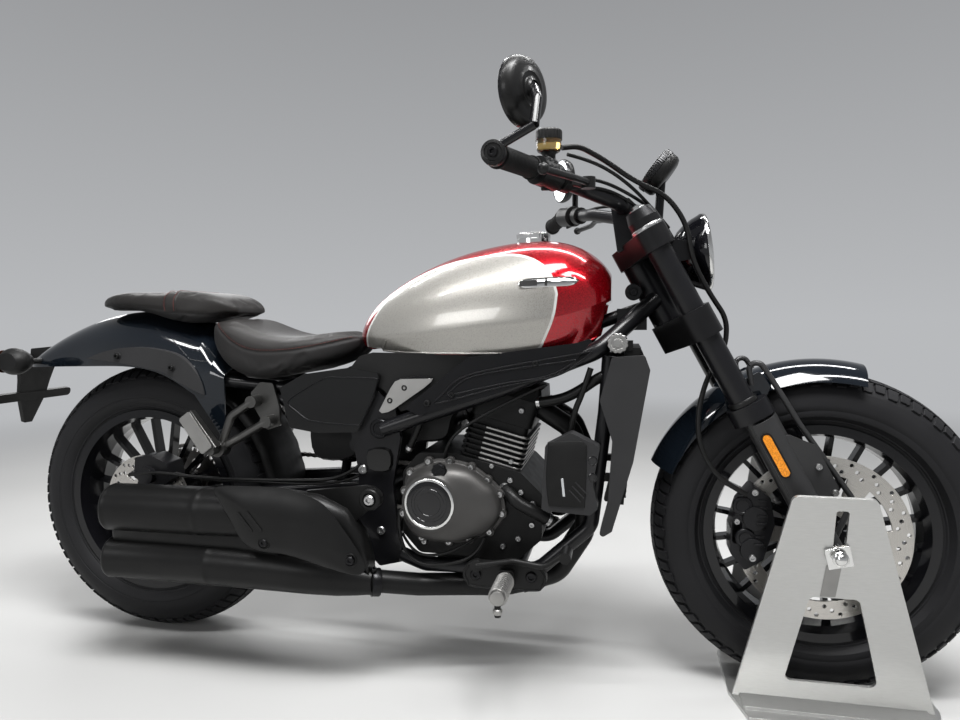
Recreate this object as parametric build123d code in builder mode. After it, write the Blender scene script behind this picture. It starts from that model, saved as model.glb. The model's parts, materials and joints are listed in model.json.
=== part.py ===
"""A cruiser motorcycle with a parallel-twin engine, held upright by its front-axle display stand.

Millimetres. +X is forward, +Y is the rider's left and +Z is up. The origin is on the floor below
the middle of the machine. The right side, with the exhaust and the brakes, is at negative Y.
"""

import os
from math import atan2, cos, pi, radians, sin, tan

from build123d import *

os.makedirs("parts", exist_ok=True)

# Wheels and tyres
FRONT_TYRE_R = 320.0
FRONT_TYRE_W = 130.0
REAR_TYRE_R = 323.0
REAR_TYRE_W = 152.0
FLANGE_R = 217.0
BEAD_R = 203.0
RIM_INNER_R = 188.0
FRONT_RIM_W = 98.0
REAR_RIM_W = 128.0
SPOKE_PAIRS = 10
SPOKE_T = 24.0
SPOKE_ROOT_TURN, SPOKE_TIP_TURN = 4.0, 9.0
FRONT_AXLE_R = 11.0
REAR_AXLE_R = 10.0
BEARING_GAP = 0.1
FRONT_DISC_R = 160.0
REAR_DISC_R = 110.0
DISC_T = 5.0
DISC_ARMS = 5
FRONT_DISC_Y = -66.5
REAR_DISC_Y = -72.0
SPROCKET_R = 98.0
SPROCKET_TEETH = 40
SPROCKET_Y = 90.0

# Chassis layout, measured along the machine. The frame's own zero is behind the swingarm pivot
ZERO_TO_PIVOT = 583.0
SWING_REACH = 583.0
PIVOT_TO_HEAD = 556.7
HEAD_Z = 850.0
PIVOT_Z = 368.0
TAIL_REACH = 420.0
RAKE = 28.0
FORK_OFFSET = 45.0
AXLE_LEAD = 11.0

# Fork, bars and their clearances
FORK_Y = 105.0
FORK_TUBE_R = 24.0
BAR_HALF = 435.0
BAR_R = 14.0
GRIP_R = 17.5
STEM_R = 15.0
HEAD_TUBE_R = 30.0
SEAT_GAP = 0.3

# Display stand
STAND_T = 6.0
STAND_HALF = 172.0
STAND_FOOT_Y = 95.0
STAND_AXLE_Y = 172.0

# Places worked out from the sizes above
RAKE_SIN, RAKE_COS = sin(radians(RAKE)), cos(radians(RAKE))
AXLE_OFFSET = FORK_OFFSET + AXLE_LEAD
FOOT_Z = FRONT_TYRE_R - AXLE_OFFSET * RAKE_SIN
HEAD_AHEAD = (HEAD_Z - FOOT_Z) * RAKE_SIN / RAKE_COS
PIVOT_TO_AXLE = PIVOT_TO_HEAD + HEAD_AHEAD + AXLE_OFFSET * RAKE_COS
PIVOT_X = (ZERO_TO_PIVOT + TAIL_REACH - FRONT_TYRE_R - PIVOT_TO_AXLE) / 2
CX = PIVOT_X - ZERO_TO_PIVOT
REAR_X = PIVOT_X - SWING_REACH
FRONT_X = PIVOT_X + PIVOT_TO_AXLE
HEAD_S = (HEAD_Z - FOOT_Z) / RAKE_COS
HEAD_LOW_S = HEAD_S - 124.0
HEAD_HIGH_S = HEAD_S + 10.0
FOOT_X = FRONT_X - AXLE_OFFSET * RAKE_COS
WHEELBASE = FRONT_X - REAR_X

pieces = {}


def keep(label, piece):
    """Names a finished piece."""
    piece.part.label = label
    pieces[label] = piece.part


def side(y):
    """The plane seen from the right, at this Y: x runs forward and y runs up."""
    return Plane.XZ.offset(-y)


def across(x, z):
    """A flat plane through this point: x runs forward and y runs to the left."""
    return Plane(origin=(x, 0, z), x_dir=(1, 0, 0), z_dir=(0, 0, 1))


def on_fork(s):
    """The plane square to the steering axis, s above its foot: x runs ahead and y to the left."""
    foot = Plane(
        origin=(FOOT_X, 0, FOOT_Z),
        x_dir=(RAKE_COS, 0, RAKE_SIN),
        z_dir=(-RAKE_SIN, 0, RAKE_COS),
    )
    return foot.offset(s)


def chassis(*points):
    """Side-view points given from the chassis zero."""
    return [(CX + x, z) for x, z in points]


def slab(points, y, thickness, corner=0.0):
    """Cuts a flat piece to a side-view outline, from y outwards to the right."""
    with BuildPart() as piece:
        with BuildSketch(side(y)) as outline:
            with BuildLine():
                Polyline(*points, close=True)
            make_face()
            if corner:
                fillet(outline.vertices(), corner)
        extrude(amount=thickness)
    return piece.part


def tube(points, radius, bend, bore=0.0):
    """Bends a round tube along points in space."""
    with BuildPart() as piece:
        with BuildLine() as path:
            if len(points) > 2:
                FilletPolyline(*points, radius=bend)
            else:
                Line(*points)
        with BuildSketch(Plane(origin=path.line @ 0, z_dir=path.line % 0)):
            Circle(radius)
            if bore:
                Circle(bore, mode=Mode.SUBTRACT)
        sweep()
    return piece.part


def from_axle(axle_x, axle_z, *points):
    """Side-view points given from a wheel's axle."""
    return [(axle_x + x, axle_z + z) for x, z in points]


def scaled(points, middle, share):
    """An outline drawn at this share of its size about its middle."""
    return [(middle[0] + share * (x - middle[0]), middle[1] + share * (z - middle[1]))
            for x, z in points]


def along(start, end, share):
    """The point at this share of the way from start to end."""
    return tuple(a + (b - a) * share for a, b in zip(start, end))


# Wheels: cast rims with paired spokes, block-tread tyres and drilled discs
def rim(axle_x, axle_z, width, hub_half, hub_r, axle_r):
    """A cast wheel: a stepped barrel, pairs of thin spokes in V shapes and a hub."""
    half = width / 2
    barrel = [
        (BEAD_R, half - 8), (FLANGE_R - 2, half - 6), (FLANGE_R, half), (BEAD_R - 4, half),
        (RIM_INNER_R + 4, half - 22), (RIM_INNER_R, 0), (RIM_INNER_R + 4, 22 - half),
        (BEAD_R - 4, -half), (FLANGE_R, -half), (FLANGE_R - 2, 6 - half), (BEAD_R, 8 - half),
    ]
    hub = [
        (axle_r + BEARING_GAP, -hub_half), (hub_r, -hub_half), (hub_r, -hub_half + 14),
        (hub_r - 12, -hub_half + 22), (hub_r - 12, hub_half - 22), (hub_r, hub_half - 14),
        (hub_r, hub_half), (axle_r + BEARING_GAP, hub_half),
    ]
    spin = Axis((axle_x, 0, axle_z), (0, 1, 0))
    with BuildPart() as wheel:
        with BuildSketch(across(axle_x, axle_z)):
            with BuildLine():
                Polyline(*barrel, close=True)
            make_face()
            with BuildLine():
                Polyline(*hub, close=True)
            make_face()
        revolve(axis=spin)
        face = Plane(origin=(axle_x, 0, axle_z), x_dir=(1, 0, 0), z_dir=(0, -1, 0))
        reach = RIM_INNER_R + 6
        with BuildSketch(face):
            with PolarLocations(0, SPOKE_PAIRS):
                for turn in (-1, 1):
                    root = turn * radians(SPOKE_ROOT_TURN)
                    tip = turn * radians(SPOKE_TIP_TURN)
                    start = hub_r - 14
                    Polygon(
                        (start * cos(root), start * sin(root) - 6),
                        (reach * cos(tip), reach * sin(tip) - 4.5),
                        (reach * cos(tip), reach * sin(tip) + 4.5),
                        (start * cos(root), start * sin(root) + 6),
                        align=None,
                    )
        extrude(amount=SPOKE_T / 2, both=True)
    return wheel


def tyre(axle_x, radius, width, rim_width):
    """A round-shouldered tyre seated on its rim's beads."""
    seat = rim_width / 2 - 9.0
    inner = BEAD_R + SEAT_GAP
    shoulder = radius - 0.19 * width
    with BuildPart() as ring:
        with BuildSketch(across(axle_x, radius)):
            with BuildLine():
                Line((inner, -seat), (inner, seat))
                Line((inner, seat), (inner + 18, seat + 4))
                ThreePointArc(
                    (inner + 18, seat + 4), (inner + 52, width / 2), (shoulder, width * 0.43)
                )
                ThreePointArc((shoulder, width * 0.43), (radius, 0), (shoulder, -width * 0.43))
                ThreePointArc(
                    (shoulder, -width * 0.43), (inner + 52, -width / 2), (inner + 18, -seat - 4)
                )
                Line((inner + 18, -seat - 4), (inner, -seat))
            make_face()
        revolve(axis=Axis((axle_x, 0, radius), (0, 1, 0)))
    return ring


def disc(axle_x, axle_z, y, outer, band, bolt_r):
    """A brake disc: a wide ring on slanted arms that are bolted to the hub."""
    with BuildPart() as plate:
        with BuildSketch(Plane(origin=(axle_x, y, axle_z), x_dir=(1, 0, 0), z_dir=(0, -1, 0))):
            Circle(outer)
            Circle(outer - band, mode=Mode.SUBTRACT)
            Circle(bolt_r + 10)
            with PolarLocations(0, DISC_ARMS):
                Polygon(
                    (bolt_r, -9), (outer - band + 4, 14), (outer - band + 4, 32), (bolt_r, 12),
                    align=None,
                )
            Circle(bolt_r - 10, mode=Mode.SUBTRACT)
        extrude(amount=DISC_T / 2, both=True)
    return plate


FRONT_HUB_R = 42.0
REAR_HUB_R = 46.0
FRONT_HUB_HALF = -FRONT_DISC_Y - DISC_T / 2 - SEAT_GAP
REAR_HUB_HALF = -REAR_DISC_Y - DISC_T / 2 - SEAT_GAP

front_rim = rim(FRONT_X, FRONT_TYRE_R, FRONT_RIM_W, FRONT_HUB_HALF, FRONT_HUB_R, FRONT_AXLE_R)
keep("front_rim", front_rim)
rear_rim = rim(REAR_X, REAR_TYRE_R, REAR_RIM_W, REAR_HUB_HALF, REAR_HUB_R, REAR_AXLE_R)
keep("rear_rim", rear_rim)
keep("front_tyre", tyre(FRONT_X, FRONT_TYRE_R, FRONT_TYRE_W, FRONT_RIM_W))
keep("rear_tyre", tyre(REAR_X, REAR_TYRE_R, REAR_TYRE_W, REAR_RIM_W))
keep("front_disc", disc(FRONT_X, FRONT_TYRE_R, FRONT_DISC_Y, FRONT_DISC_R, 38, 34))
keep("rear_disc", disc(REAR_X, REAR_TYRE_R, REAR_DISC_Y, REAR_DISC_R, 32, 36))

SPROCKET_T = 6.0
TOOTH_DEPTH = 8.0
SPROCKET_BORE_R = REAR_AXLE_R + 8.0
SPROCKET_BOSS_R = 44.0
with BuildPart() as rear_sprocket:
    with BuildSketch(
        Plane(origin=(REAR_X, SPROCKET_Y, REAR_TYRE_R), x_dir=(1, 0, 0), z_dir=(0, -1, 0))
    ):
        Circle(SPROCKET_R - TOOTH_DEPTH)
        with PolarLocations(0, SPROCKET_TEETH):
            Polygon(
                (SPROCKET_R - TOOTH_DEPTH - 1, -5), (SPROCKET_R, -2), (SPROCKET_R, 2),
                (SPROCKET_R - TOOTH_DEPTH - 1, 5), align=None,
            )
        with PolarLocations(60, 5):
            Circle(13, mode=Mode.SUBTRACT)
        Circle(SPROCKET_BORE_R, mode=Mode.SUBTRACT)
    extrude(amount=SPROCKET_T / 2, both=True)
    with BuildSketch(
        Plane(
            origin=(REAR_X, SPROCKET_Y - SPROCKET_T / 2, REAR_TYRE_R),
            x_dir=(1, 0, 0), z_dir=(0, -1, 0),
        )
    ):
        Circle(SPROCKET_BOSS_R)
        Circle(SPROCKET_BORE_R, mode=Mode.SUBTRACT)
    extrude(amount=SPROCKET_Y - SPROCKET_T / 2 - REAR_HUB_HALF - SEAT_GAP)
keep("rear_sprocket", rear_sprocket)

# Frame: head tube, top tubes, side tubes, cradle and rear rails
SIDE_TUBE_R = 17.0
SIDE_TUBE_Y = 118.0
CRADLE_R = 15.0
CRADLE_Y = 112.0
CRADLE_TOP_Y = 104.0
UPPER_TUBE_R = 13.0
BORE_R = STEM_R + BEARING_GAP
with BuildPart() as main_frame:
    with BuildSketch(on_fork(HEAD_LOW_S)):
        Circle(HEAD_TUBE_R)
    extrude(amount=HEAD_HIGH_S - HEAD_LOW_S)
    for hand in (-1, 1):
        # The long side tube from behind the engine up to the head tube
        add(
            tube(
                [
                    (CX + 612, hand * SIDE_TUBE_Y, 518), (CX + 860, hand * SIDE_TUBE_Y, 604),
                    (CX + 1060, hand * 112, 684), (CX + 1172, hand * 22, 786),
                ],
                SIDE_TUBE_R, 60,
            )
        )
        # The upper tube hidden under the tank
        add(
            tube(
                [
                    (CX + 560, hand * 70, 644), (CX + 860, hand * 62, 668),
                    (CX + 1150, hand * 18, 770),
                ],
                UPPER_TUBE_R, 120,
            )
        )
    with Locations((CX + 1125, 0, 745)):
        Box(60, 84, 44)
    with BuildSketch(on_fork(HEAD_LOW_S)):
        Circle(BORE_R)
    extrude(amount=HEAD_HIGH_S - HEAD_LOW_S, mode=Mode.SUBTRACT)

# The swingarm plates stand each side of the engine's rear, from the seat rail to the cradle
SHOCK_EYE_R, SHOCK_EYE_HALF = 15.0, 17.0
SHOCK_LOW = (CX + 470, 0, 372)
SHOCK_HIGH = (CX + 505, 0, 590)
EAR_T = 8.0
EAR_Y = SHOCK_EYE_HALF + SEAT_GAP + EAR_T / 2
PLATE_Y = 104.0
PLATE_T = 14.0
with BuildPart() as pivot_plates:
    add(
        slab(
            chassis((528, 620), (560, 640), (640, 560), (650, 500), (632, 400), (640, 300),
                    (655, 236), (600, 222), (560, 260), (548, 340), (556, 420), (530, 560)),
            -PLATE_Y, PLATE_T, 8,
        )
    )
    mirror(about=Plane.XZ)
    with Locations((CX + 558, 0, 622), (CX + 585, 0, 250)):
        Cylinder(14, 2 * PLATE_Y, rotation=(90, 0, 0))
    with Locations((CX + 545, 0, 480)):
        Cylinder(16, 2 * PLATE_Y, rotation=(90, 0, 0))
    for y in (-EAR_Y, EAR_Y):
        add(
            slab(
                chassis((492, 576), (505, 572), (566, 608), (566, 634), (505, 608), (492, 600)),
                y + EAR_T / 2, EAR_T, 3,
            )
        )
keep("pivot_plates", pivot_plates)

# The frame's tubes end where they meet the swingarm plates
with BuildPart() as trimmed_frame:
    add(main_frame.part)
    add(pivot_plates.part, mode=Mode.SUBTRACT)
keep("main_frame", trimmed_frame)

with BuildPart() as lower_cradle:
    add(
        tube(
            [
                (CX + 648, -CRADLE_Y, 250), (CX + 700, -CRADLE_Y, 232), (CX + 940, -CRADLE_Y, 236),
                (CX + 1046, -CRADLE_TOP_Y, 330), (CX + 1074, -100, 560), (CX + 1082, -100, 672),
            ],
            CRADLE_R, 40,
        )
    )
    mirror(about=Plane.XZ)
    with Locations((CX + 900, 0, 236)):
        Cylinder(11, 2 * CRADLE_Y, rotation=(90, 0, 0))
    add(main_frame.part, mode=Mode.SUBTRACT)
    add(pivot_plates.part, mode=Mode.SUBTRACT)
keep("lower_cradle", lower_cradle)

RAIL_R = 13.0
RAIL_Y = 92.0
with BuildPart() as rear_rails:
    add(
        tube(
            [
                (CX + 542, -RAIL_Y, 620), (CX + 380, -RAIL_Y, 600), (CX + 180, -RAIL_Y, 618),
                (CX + 20, -84, 650),
            ],
            RAIL_R, 120,
        )
    )
    add(
        tube(
            [(CX + 545, -RAIL_Y, 572), (CX + 420, -RAIL_Y, 548), (CX + 330, -RAIL_Y, 592)],
            RAIL_R - 1, 60,
        )
    )
    mirror(about=Plane.XZ)
    with Locations((CX + 350, 0, 603)):
        Cylinder(10, 2 * 86, rotation=(90, 0, 0))
    add(pivot_plates.part, mode=Mode.SUBTRACT)
keep("rear_rails", rear_rails)

# Swingarm with its pivot, and the rear axle that it carries
ARM_Y = 98.0
ARM_END_Y = 112.0
ARM_END_T = 22.0
PIVOT_TUBE_R = 22.0
ARM_CORNER = 8.0
with BuildPart() as swingarm:
    for hand in (-1, 1):
        with BuildSketch(
            Plane(
                origin=(PIVOT_X - 10, hand * 66, PIVOT_Z), x_dir=(0, 1, 0), z_dir=(-1, 0, 0)
            )
        ):
            RectangleRounded(30, 62, ARM_CORNER)
        with BuildSketch(
            Plane(origin=(REAR_X + 250, hand * ARM_Y, 345), x_dir=(0, 1, 0), z_dir=(-1, 0, 0))
        ):
            RectangleRounded(24, 50, ARM_CORNER)
        for x in (REAR_X + 60, REAR_X - 44):
            with BuildSketch(
                Plane(
                    origin=(x, hand * ARM_END_Y, REAR_TYRE_R), x_dir=(0, 1, 0), z_dir=(-1, 0, 0)
                )
            ):
                RectangleRounded(ARM_END_T, 38, ARM_CORNER)
        loft(ruled=True)
    with Locations((PIVOT_X, 0, PIVOT_Z)):
        Cylinder(PIVOT_TUBE_R, 2 * (PLATE_Y - SEAT_GAP), rotation=(90, 0, 0))
    with Locations((PIVOT_X - 70, 0, PIVOT_Z - 8)):
        Box(40, 150, 50)
    for y in (-EAR_Y, EAR_Y):
        with Locations((SHOCK_LOW[0] + 14, y, SHOCK_LOW[2])):
            Box(40, EAR_T, 30)
    with Locations((REAR_X, 0, REAR_TYRE_R)):
        Cylinder(REAR_AXLE_R + BEARING_GAP, 300, rotation=(90, 0, 0), mode=Mode.SUBTRACT)
keep("swingarm", swingarm)

REAR_AXLE_END = ARM_END_Y + 32
AXLE_BORE_R = 5.5
REAR_SPACER_R = 15.0
REAR_NUT_R, REAR_NUT_T = 17.0, 18.0
HUB_GAP = 0.8
with BuildPart() as rear_axle:
    with Locations((REAR_X, 0, REAR_TYRE_R)):
        Cylinder(REAR_AXLE_R, 2 * REAR_AXLE_END, rotation=(90, 0, 0))
        arm_face = ARM_END_T / 2 + SEAT_GAP
        spacer = ARM_END_Y - arm_face - REAR_HUB_HALF - HUB_GAP
        for hand in (-1, 1):
            with Locations((0, hand * (ARM_END_Y + arm_face + REAR_NUT_T / 2), 0)):
                Cylinder(REAR_NUT_R, REAR_NUT_T, rotation=(90, 0, 0))
            with Locations((0, hand * (ARM_END_Y - arm_face - spacer / 2), 0)):
                Cylinder(REAR_SPACER_R, spacer, rotation=(90, 0, 0))
        Cylinder(AXLE_BORE_R, 2 * REAR_AXLE_END, rotation=(90, 0, 0), mode=Mode.SUBTRACT)
keep("rear_axle", rear_axle)

# Rear shock: one unit in the middle, from the swingarm to the frame
SHOCK_ROD_R, SHOCK_BODY_R, SHOCK_COIL_R = 11.0, 23.0, 31.0
SHOCK_COILS, SHOCK_COIL_T = 7, 8.0
with BuildPart() as rear_shock:
    add(tube([SHOCK_LOW, SHOCK_HIGH], SHOCK_ROD_R, 1))
    body_run = [along(SHOCK_LOW, SHOCK_HIGH, share) for share in (0.24, 0.86)]
    add(tube(body_run, SHOCK_BODY_R, 1))
    shock_run = Vector(SHOCK_HIGH) - Vector(SHOCK_LOW)
    for turn in range(SHOCK_COILS):
        spot = along(SHOCK_LOW, SHOCK_HIGH, 0.28 + 0.075 * turn)
        with BuildSketch(Plane(origin=spot, x_dir=(0, 1, 0), z_dir=shock_run)):
            Circle(SHOCK_COIL_R)
        extrude(amount=SHOCK_COIL_T)
    for eye in (SHOCK_LOW, SHOCK_HIGH):
        with Locations(eye):
            Cylinder(SHOCK_EYE_R, 2 * SHOCK_EYE_HALF, rotation=(90, 0, 0))
keep("rear_shock", rear_shock)

# Engine: crankcase, cylinders, head and covers
CASE_HALF = 118.0
FRONT_SPROCKET_R = 40.0
FRONT_SPROCKET_X = CX + 664
FRONT_SPROCKET_Z = 352.0
with BuildPart() as crankcase:
    with BuildSketch(side(CASE_HALF)) as outline:
        with BuildLine():
            Polyline(
                *chassis((652, 300), (690, 258), (900, 256), (948, 300), (950, 392), (905, 436),
                         (770, 470), (690, 470), (655, 430)),
                close=True,
            )
        make_face()
        fillet(outline.vertices(), 18)
    extrude(amount=2 * CASE_HALF)
    with BuildSketch(side(70)):
        with BuildLine():
            Polyline(
                *chassis((700, 262), (872, 262), (860, 196), (720, 196)), close=True
            )
        make_face()
    extrude(amount=125)
    with BuildSketch(side(CASE_HALF)):
        with Locations((FRONT_SPROCKET_X, FRONT_SPROCKET_Z)):
            RectangleRounded(112, 116, 10)
    extrude(amount=CASE_HALF - SPROCKET_Y + 12, mode=Mode.SUBTRACT)
    with BuildSketch(side(SPROCKET_Y + 14)):
        with Locations((FRONT_SPROCKET_X, FRONT_SPROCKET_Z)):
            Circle(16)
    extrude(amount=28)
    with BuildSketch(side(SPROCKET_Y + SPROCKET_T / 2)):
        with Locations((FRONT_SPROCKET_X, FRONT_SPROCKET_Z)):
            Circle(FRONT_SPROCKET_R)
    extrude(amount=SPROCKET_T)
keep("crankcase", crankcase)

PIPE_R = 21.0


def header_route(hand):
    """The line of one header pipe, from its port in the head to where both pipes join."""
    places = [
        (938, hand * 50, 560), (1000, hand * 50, 520), (1036, hand * 50, 430),
        (1030, hand * 50 - 2, 300), (975, hand * 36 - 22, 214), (900, hand * 16 - 62, 192),
    ]
    return [(CX + x, y, z) for x, y, z in places]


LEAN = 15.0
BORE_TOP = Plane(
    origin=(CX + 838, 0, 452), x_dir=(cos(radians(LEAN)), 0, -sin(radians(LEAN))),
    z_dir=(sin(radians(LEAN)), 0, cos(radians(LEAN))),
)
FIN_COUNT = 7
FIN_T = 4.0
FIN_STEP = 11.0
BLOCK_H = 88.0
HEAD_H, CAM_COVER_H = 56.0, 26.0
with BuildPart() as cylinder_block:
    with BuildSketch(BORE_TOP.offset(-20)):
        RectangleRounded(120, 196, 12)
    extrude(amount=BLOCK_H + 20)
    for row in range(FIN_COUNT):
        with BuildSketch(BORE_TOP.offset(2 + row * FIN_STEP)):
            RectangleRounded(134, 214, 14)
        extrude(amount=FIN_T)
with BuildPart() as cylinder_head:
    with BuildSketch(BORE_TOP.offset(BLOCK_H + SEAT_GAP)):
        RectangleRounded(132, 196, 14)
    extrude(amount=HEAD_H)
    with BuildSketch(BORE_TOP.offset(BLOCK_H + HEAD_H)):
        RectangleRounded(144, 192, 20)
    extrude(amount=CAM_COVER_H, taper=18)
    for hand in (-1, 1):
        add(tube(header_route(hand)[:2], PIPE_R + SEAT_GAP, 1), mode=Mode.SUBTRACT)
# The crankcase's top is cut flat where the cylinders stand on it
with BuildPart() as seated_block:
    add(cylinder_block.part)
    add(crankcase.part, mode=Mode.SUBTRACT)
keep("cylinder_block", seated_block)
keep("cylinder_head", cylinder_head)

# The clutch cover swells around its round window
CLUTCH_X, CLUTCH_Z = CX + 728, 376.0
COVER_Y = -(CASE_HALF + SEAT_GAP)
COVER_T, COVER_SWELL = 26.0, 22.0
WINDOW_R, RING_R, RING_BORE_R = 60.0, 52.0, 44.0
WINDOW_T, RING_T = 30.0, 4.0
with BuildPart() as clutch_cover:
    with BuildSketch(side(COVER_Y)):
        with BuildLine():
            Polyline(
                *chassis((655, 340), (668, 430), (720, 458), (800, 448), (868, 400), (872, 352),
                         (838, 308), (760, 284), (690, 290)),
                close=True,
            )
        make_face()
        fillet(vertices(), 14)
    extrude(amount=COVER_T)
    with BuildSketch(side(COVER_Y - COVER_T)):
        with Locations((CLUTCH_X + 18, CLUTCH_Z)):
            Ellipse(92, 72)
    with BuildSketch(side(COVER_Y - COVER_T - COVER_SWELL)):
        with Locations((CLUTCH_X + 12, CLUTCH_Z)):
            Ellipse(76, 58)
    loft()
    with BuildSketch(side(COVER_Y - COVER_T)):
        with Locations((CLUTCH_X, CLUTCH_Z)):
            Circle(WINDOW_R)
    extrude(amount=WINDOW_T)
    with BuildSketch(side(COVER_Y - COVER_T - WINDOW_T)):
        with Locations((CLUTCH_X, CLUTCH_Z)):
            Circle(RING_R)
            Circle(RING_BORE_R, mode=Mode.SUBTRACT)
    extrude(amount=RING_T)
keep("clutch_cover", clutch_cover)

GENERATOR = (CX + 790, 372)
GENERATOR_STEPS = [  # radius, depth
    (84.0, 24.0), (62.0, 22.0),
]
PINION_COVER_T = 18.0
with BuildPart() as generator_cover:
    face_y = CASE_HALF + SEAT_GAP
    for radius, depth in GENERATOR_STEPS:
        face_y += depth
        with BuildSketch(side(face_y)):
            with Locations(GENERATOR):
                Circle(radius)
        extrude(amount=depth)
    with BuildSketch(side(CASE_HALF + SEAT_GAP + PINION_COVER_T)):
        with BuildLine():
            Polyline(
                *chassis((658, 330), (662, 430), (725, 452), (770, 420), (770, 300), (700, 290)),
                close=True,
            )
        make_face()
    extrude(amount=PINION_COVER_T)
keep("generator_cover", generator_cover)

# Cooling: radiator, its side covers and the overflow tank
RAD_HALF = 118.0
RAD_CAP_R, RAD_CAP_T = 20.0, 14.0
COVER_SHEET_T = 24.0
TANK_DEPTH = 39.0
with BuildPart() as radiator:
    with BuildSketch(side(RAD_HALF)):
        with BuildLine():
            Polyline(*chassis((1112, 690), (1142, 690), (1110, 380), (1080, 380)), close=True)
        make_face()
    extrude(amount=2 * RAD_HALF)
    with Locations((CX + 1114, -RAD_HALF + 6, 694)):
        Box(26, 16, 20)
    with BuildSketch(side(-RAD_HALF - 2)):
        with Locations((CX + 1098, 699)):
            Circle(RAD_CAP_R)
    extrude(amount=RAD_CAP_T)
    for z in (430, 590):
        for y in (-100, 100):
            with Locations((CX + 1086, y, z)):
                Box(44, 18, 14)
    add(lower_cradle.part, mode=Mode.SUBTRACT)
keep("radiator", radiator)

with BuildPart() as radiator_covers:
    add(
        slab(
            chassis((1087, 672), (1149, 676), (1159, 648), (1128, 470), (1088, 332), (1061, 314),
                    (1080, 391), (1088, 510), (1064, 588)),
            -(RAD_HALF + SEAT_GAP), COVER_SHEET_T, 6,
        )
    )
    mirror(about=Plane.XZ)
keep("radiator_covers", radiator_covers)

with BuildPart() as coolant_tank:
    add(
        slab(
            chassis((952, 372), (1046, 366), (1062, 380), (1052, 430), (1066, 500), (1010, 527),
                    (960, 500)),
            -(CRADLE_TOP_Y + CRADLE_R + SEAT_GAP), TANK_DEPTH, 7,
        )
    )
keep("coolant_tank", coolant_tank)

# Fuel tank: sections along the machine, each a flat floor, leaning sides and a crowned top
TANK_REAR = 538.0
TANK = [  # x, floor z, widest z, top z, half width at the floor, half width
    (TANK_REAR, 700, 712, 734, 34, 44),
    (580, 684, 712, 792, 74, 88),
    (660, 678, 716, 846, 104, 122),
    (760, 676, 726, 887, 124, 145),
    (880, 677, 738, 911, 132, 156),
    (985, 684, 752, 908, 124, 150),
    (1050, 704, 772, 878, 94, 118),
    (1084, 740, 790, 838, 50, 70),
]
TUNNEL_HALF = 86.0
CAP_X, CAP_SEAT_Z, CAP_R = 918.0, 908.0, 36.0
with BuildPart() as fuel_tank:
    for x, floor, belt, top, foot, half in TANK:
        with BuildSketch(Plane(origin=(CX + x, 0, 0), x_dir=(0, 1, 0), z_dir=(1, 0, 0))):
            with BuildLine():
                Line((-foot, floor), (foot, floor))
                Line((foot, floor), (half, belt))
                EllipticalCenterArc((0, belt), half, top - belt, start_angle=0, arc_size=180)
                Line((-half, belt), (-foot, floor))
            make_face()
    loft()
    # The tunnel over the frame's upper tubes, and the filler's seat
    add(
        slab(
            chassis((500, 650), (500, 672), (600, 688), (860, 704), (1060, 768), (1110, 800),
                    (1110, 650)),
            TUNNEL_HALF, 2 * TUNNEL_HALF,
        ),
        mode=Mode.SUBTRACT,
    )
    with BuildSketch(Plane(origin=(CX + CAP_X, 0, CAP_SEAT_Z), z_dir=(0, 0, 1))):
        Circle(CAP_R + SEAT_GAP)
    extrude(amount=30, mode=Mode.SUBTRACT)
keep("fuel_tank", fuel_tank)

with BuildPart() as filler_cap:
    with BuildSketch(Plane(origin=(CX + CAP_X, 0, CAP_SEAT_Z), z_dir=(0, 0, 1))):
        Circle(CAP_R)
    extrude(amount=10)
    with BuildSketch(Plane(origin=(CX + CAP_X, 0, CAP_SEAT_Z + 10), z_dir=(0, 0, 1))):
        Circle(CAP_R - 7)
    extrude(amount=12, taper=12)
keep("filler_cap", filler_cap)

# Seats: simple closed solids of their true size
RIDER_SEAT = [  # x, base z, top z, half width
    (206, 700, 752, 104),
    (262, 640, 744, 134),
    (335, 624, 718, 142),
    (430, 640, 713, 132),
    (500, 664, 722, 96),
    (TANK_REAR - SEAT_GAP, 690, 716, 52),
]
SEAT_CORNER = 0.34


def cushion(sections):
    """A closed cushion through its sections, with corners that grow with its height."""
    with BuildPart() as pad:
        for x, base, top, half in sections:
            with BuildSketch(Plane(origin=(CX + x, 0, 0), x_dir=(0, 1, 0), z_dir=(1, 0, 0))):
                with Locations((0, (base + top) / 2)):
                    RectangleRounded(2 * half, top - base, SEAT_CORNER * (top - base))
        loft()
    return pad


keep("rider_seat", cushion(RIDER_SEAT))

PILLION_SEAT = [  # x, base z, top z, half width
    (-131, 778, 788, 36),
    (-108, 779, 802, 74),
    (-62, 780, 813, 96),
    (60, 763, 815, 108),
    (150, 748, 815, 108),
    (206, 757, 803, 98),
    (250, 759, 779, 64),
]

# Rear fender: a long hood over the tyre that runs up into the seat's base
FENDER_T = 4.0
FENDER_BOSSES = [(192, 617), (222, 614.2)]
FENDER_BOSS_R, FENDER_BOSS_REACH = 9.0, 9.5
RAIL_FACE_Y = RAIL_Y + RAIL_R + SEAT_GAP
REAR_FENDER = [  # x, ridge z, shoulder z, side edge z, half width
    (-322, 652, 646, 644, 60),
    (-285, 690, 644, 642, 92),
    (-215, 732, 646, 644, 100),
    (-110, 766, 648, 646, 106),
    (20, 772, 645, 643, 112),
    (110, 754, 624, 616, 116),
    (165, 738, 610, 584, 118),
    (205, 693, 628, 528, 117),
    (238, 654, 620, 474, 115),
]


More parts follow.
